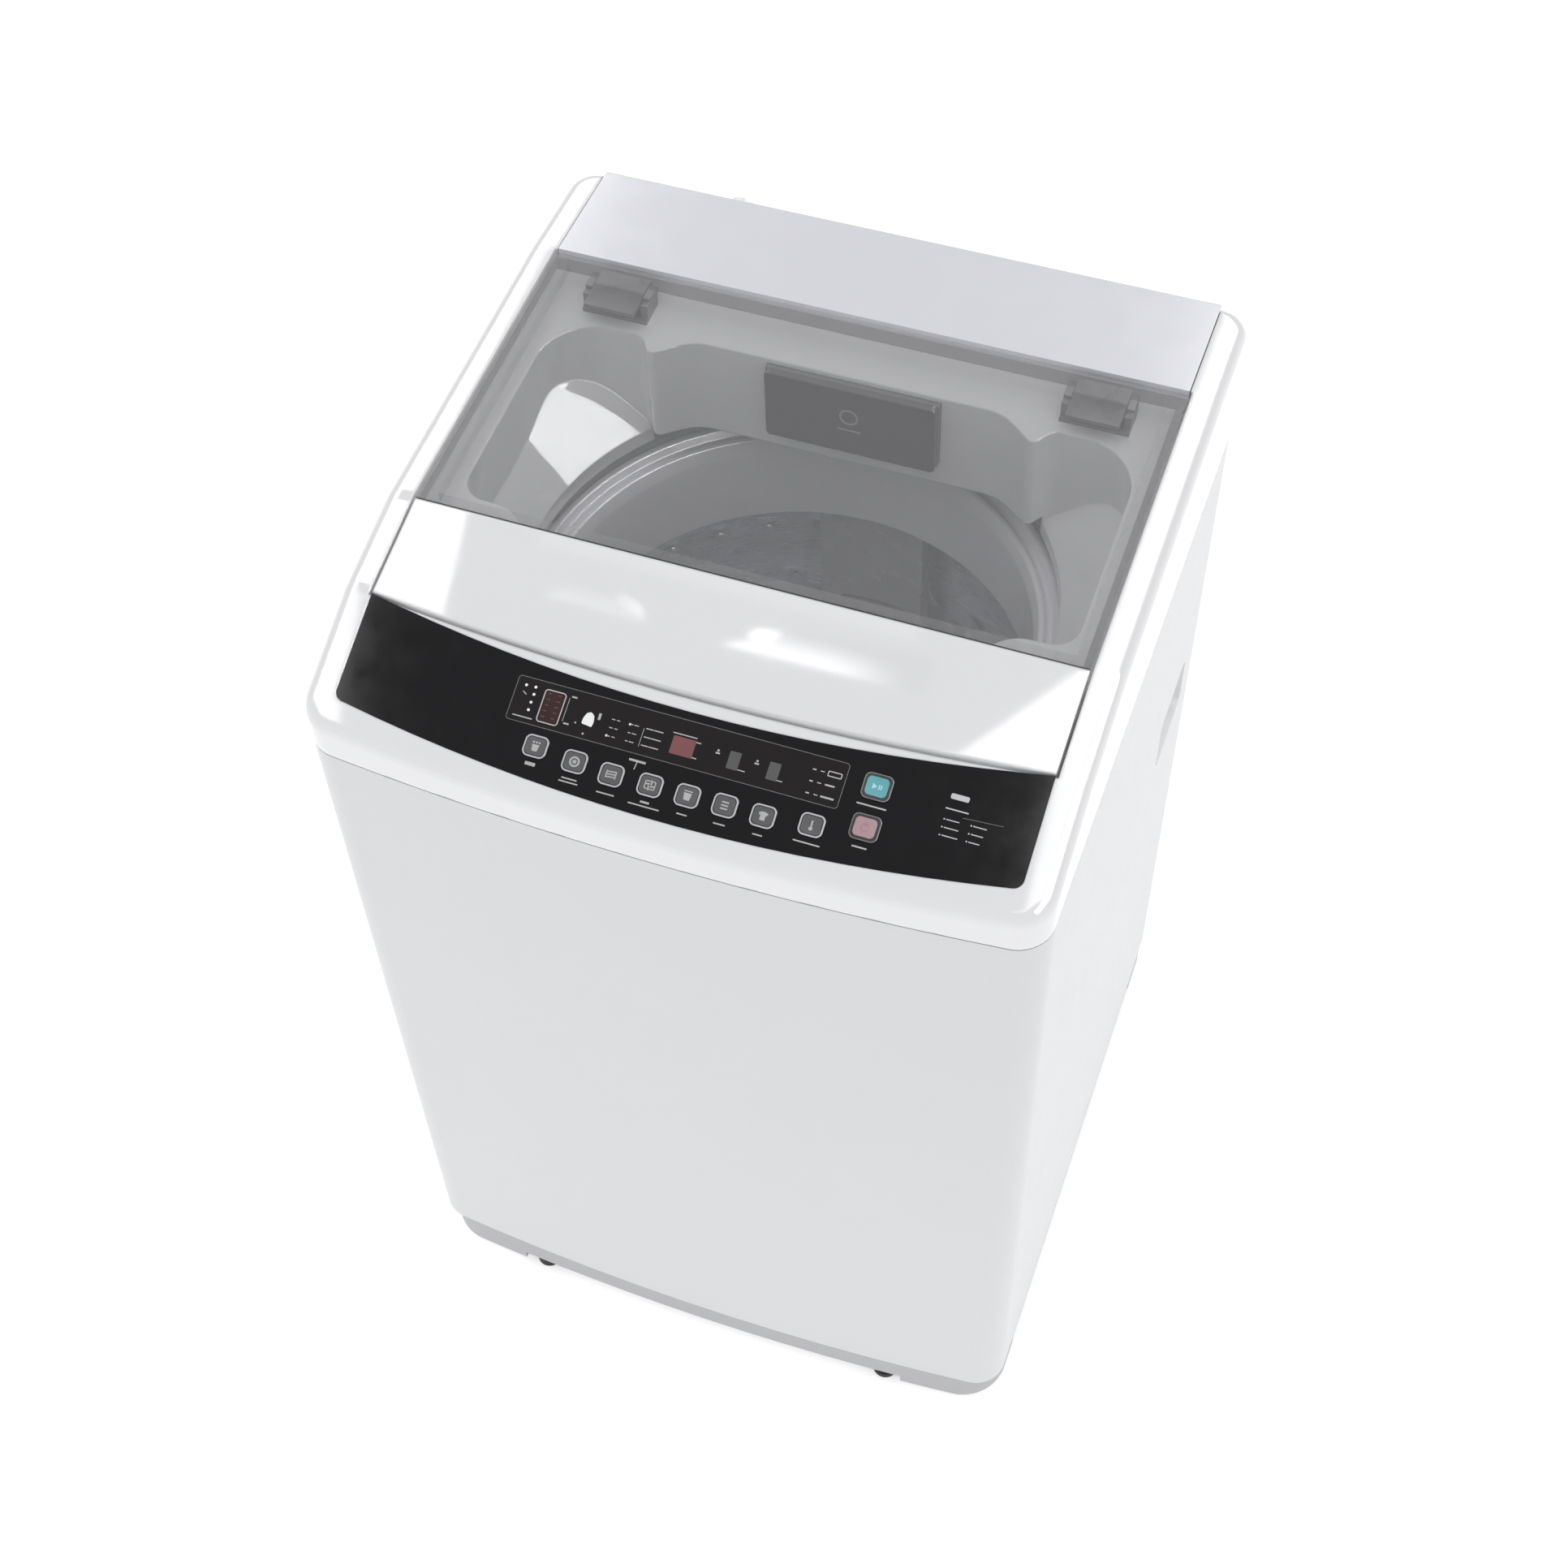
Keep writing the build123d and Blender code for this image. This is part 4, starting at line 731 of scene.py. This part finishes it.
def add_ring():
    """Balance ring with two rounded ridges round its mouth."""
    low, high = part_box("balance_ring")
    rim = (high.x - low.x) / 2 / MM
    base, top = low.z / MM, high.z / MM
    outline = [(195, base), (rim, base), (rim, top - 21), (221, top - 21), (221, top - 3), (218, top),
               (213, top), (209, top - 7), (206, top - 7), (203, top - 4), (199, top - 5), (195, top - 17)]
    profile = [(r * MM, z * MM) for r, z in softened(outline, 3.0)]
    solid("balance_ring_shell", lathe(profile, basket_centre(), 160), "basket", "ring_plastic",
          stands_for=["balance_ring"], smooth=50.0)


def pulsator_height(radius, angle):
    """Height of the pulsator over its rim at a radius in millimetres: hub, dish and three swept vanes."""
    hub = 30 / (1 + math.exp((radius - 40) / 5.0))
    dish = 9 * max(0.0, 1 - radius / 150)
    rim = 2.0 * math.exp(-((radius - 160) / 6.0) ** 2)
    vane = 0.0
    for step in range(3):
        middle = math.radians(90 + 120 * step) + 0.0016 * (radius - 90)
        away = math.atan2(math.sin(angle - middle), math.cos(angle - middle)) * radius
        inside = 1 / (1 + math.exp(-(radius - 42) / 5.0)) / (1 + math.exp((radius - 143) / 4.0))
        vane = max(vane, 33 * inside * math.exp(-(away / 10.5) ** 4))
    ripple = 1.2 * math.cos(6 * angle + radius / 28) * min(1.0, radius / 90)
    return max(hub, vane) + dish + rim + ripple


def add_pulsator():
    """Sculpted rotor with vanes and rings of drain holes."""
    low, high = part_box("pulsator")
    centre = ((low.x + high.x) / 2, (low.y + high.y) / 2)
    outer = (high.x - low.x) / 2 / MM
    inner = 9.2
    sheet = 2.4
    hole_radius = 2.6
    columns, rows = 72, 22
    base = low.z / MM + sheet + 0.2
    top = high.z / MM

    def place(u, v):
        radius = inner + (outer - inner) * v / rows
        angle = 2 * math.pi * u / columns
        height = min(top - 0.1, base + pulsator_height(radius, angle))
        across, along = radius * MM * math.cos(angle), radius * MM * math.sin(angle)
        return (centre[0] + across, centre[1] + along, height * MM)

    def has_hole(column, row):
        angle = 360 * (column + 0.5) / columns
        near_vane = min(abs((angle - 90 - 120 * k + 180) % 360 - 180) for k in range(3)) < 13
        return row in (11, 13, 15, 17, 19) and (column + row) % 3 == 0 and not near_vane

    def size(column, row):
        radius = inner + (outer - inner) * (row + 0.5) / rows
        return hole_radius * columns / (2 * math.pi * radius), hole_radius * rows / (outer - inner)

    face = perforated(columns, rows, place, has_hole, size)
    rotor = solid("pulsator_rotor", face, "pulsator", "pulsator_plastic", stands_for=["pulsator"],
                  smooth=60.0)
    downwards = 1.0 if rotor.data.polygons[0].normal.z < 0 else -1.0
    thicken(rotor, sheet * MM, offset=downwards)


# ---- lid ----
GLASS_THICK = 3.2 * MM


def add_lid_edge():
    """Black seal strip where the glass meets the white front."""
    glass_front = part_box("lid_glass")[0].y
    cover_low, cover_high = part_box("lid_front_cover")
    y = (glass_front + cover_high.y) / 2
    z = cover_high.z
    slope = 0.12
    half = (cover_high.x - cover_low.x) / 2 - 0.2 * MM
    wide, proud, deep = 1.1 * MM, 0.12 * MM, 2.6 * MM
    section = [(-wide / 2, -deep), (wide / 2, -deep), (wide / 2, proud), (-wide / 2, proud)]
    vertices = [(x, y + dy, z + dz + dy * slope) for x in (-half, half) for dy, dz in section]
    faces = [(0, 1, 2, 3), (7, 6, 5, 4)] + [(k, k + 4, (k + 1) % 4 + 4, (k + 1) % 4) for k in range(4)]
    solid("lid_seal", (vertices, faces), "lid", "smoke_frame", "print_black", smooth=30.0)


def add_lid_border():
    """Tinted border under the glass: narrow at the sides, wide along the back."""
    low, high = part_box("lid_glass")
    side, back, thick = 5.5 * MM, 13.0 * MM, 0.2 * MM
    slope = (high.z - low.z - GLASS_THICK) / (high.y - low.y)
    front, rear = low.y + 1.0 * MM, high.y - 3.0 * MM
    half = high.x - 0.6 * MM
    drop = GLASS_THICK + 0.3 * MM
    outer = [(-half, front), (-half, rear), (half, rear), (half, front)]
    within, depth = half - side, rear - back
    inner = [(-within, front), (-within, depth), (within, depth), (within, front)]
    plan = outer + inner
    vertices = []
    for layer in (0.0, thick):
        for x, y in plan:
            vertices.append((x, y, high.z - (high.y - y) * slope - drop + layer))
    faces = []
    count = len(plan)
    for a, b in ((0, 1), (1, 2), (2, 3)):
        faces.append((a, b, b + 4, a + 4))
        faces.append((a + count, a + count + 4, b + count + 4, b + count))
        faces.append((a, a + count, b + count, b))
        faces.append((a + 4, b + 4, b + count + 4, a + count + 4))
    for a in (0, 3):
        faces.append((a, a + 4, a + count + 4, a + count))
    solid("lid_border", (vertices, faces), "lid", "smoke_frame", "edge_tint", smooth=30.0)


# ---- painted shade in the seam below the top ----
def hull(points):
    """Convex outline of points in plan, counter-clockwise."""
    points = sorted(set(points))

    def half(chain):
        made = []
        for point in chain:
            while len(made) > 1:
                (ax, ay), (bx, by) = made[-2], made[-1]
                if (bx - ax) * (point[1] - ay) - (by - ay) * (point[0] - ax) > 0:
                    break
                made.pop()
            made.append(point)
        return made[:-1]

    return half(points) + half(reversed(points))


def add_seam():
    """Dark strip laid in the gap between the casing and the top: painted shade for the shadow inside the gap.
    """
    mesh = NODES["cabinet_shell"].data
    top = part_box("cabinet_shell")[1].z
    near, far, bottom, crest = 0.35, 1.35, 0.1, 0.9
    rim = hull([(round(v.co.x, 5), round(v.co.y, 5)) for v in mesh.vertices if top - v.co.z < 0.2 * MM])
    vertices, faces = [], []
    count = len(rim)
    for index, point in enumerate(rim):
        before, after = Vector(rim[index - 1]), Vector(rim[(index + 1) % count])
        along = (after - before).normalized()
        inward = Vector((-along.y, along.x))
        for inset, height in ((near, bottom), (near, crest), (far, crest), (far, bottom)):
            spot = Vector(point) + inward * inset * MM
            vertices.append((spot.x, spot.y, top + height * MM))
    for index in range(count):
        here, there = index * 4, (index + 1) % count * 4
        for row in range(4):
            up = (row + 1) % 4
            faces.append((here + row, there + row, there + up, here + up))
    # the dark strip is painted shade for the shadow in the seam gap
    solid("seam_gasket", (vertices, faces), "cabinet", "white_gloss", "seam_dark", smooth=30.0)


# ---- detergent drawer ----
def add_drawer_mark():
    """Plain raised ring and bar on the drawer's front."""
    low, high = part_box("dispenser_drawer")
    middle = Vector(((low.x + high.x) / 2, low.y, (low.z + high.z) / 2))
    plane = (middle, Vector((1, 0, 0)), Vector((0, 0, 1)), Vector((0, -1, 0)))
    ring = (disc(0, 6.0, 8.0, 32), disc(0, 6.0, 6.4, 32))
    bar = rounded_box(0, -8.0, 20.0, 1.6, 0.6)
    printed("drawer_mark", plane, [bar], [ring], "dispenser", "drawer_plastic", "print_gray", depth=0.3)


add_camera()
add_studio()
paint_nodes()
dress_keys()
display_prints()
panel_prints()
add_basket()
add_ring()
add_pulsator()
add_lid_edge()
add_lid_border()
add_drawer_mark()
add_seam()
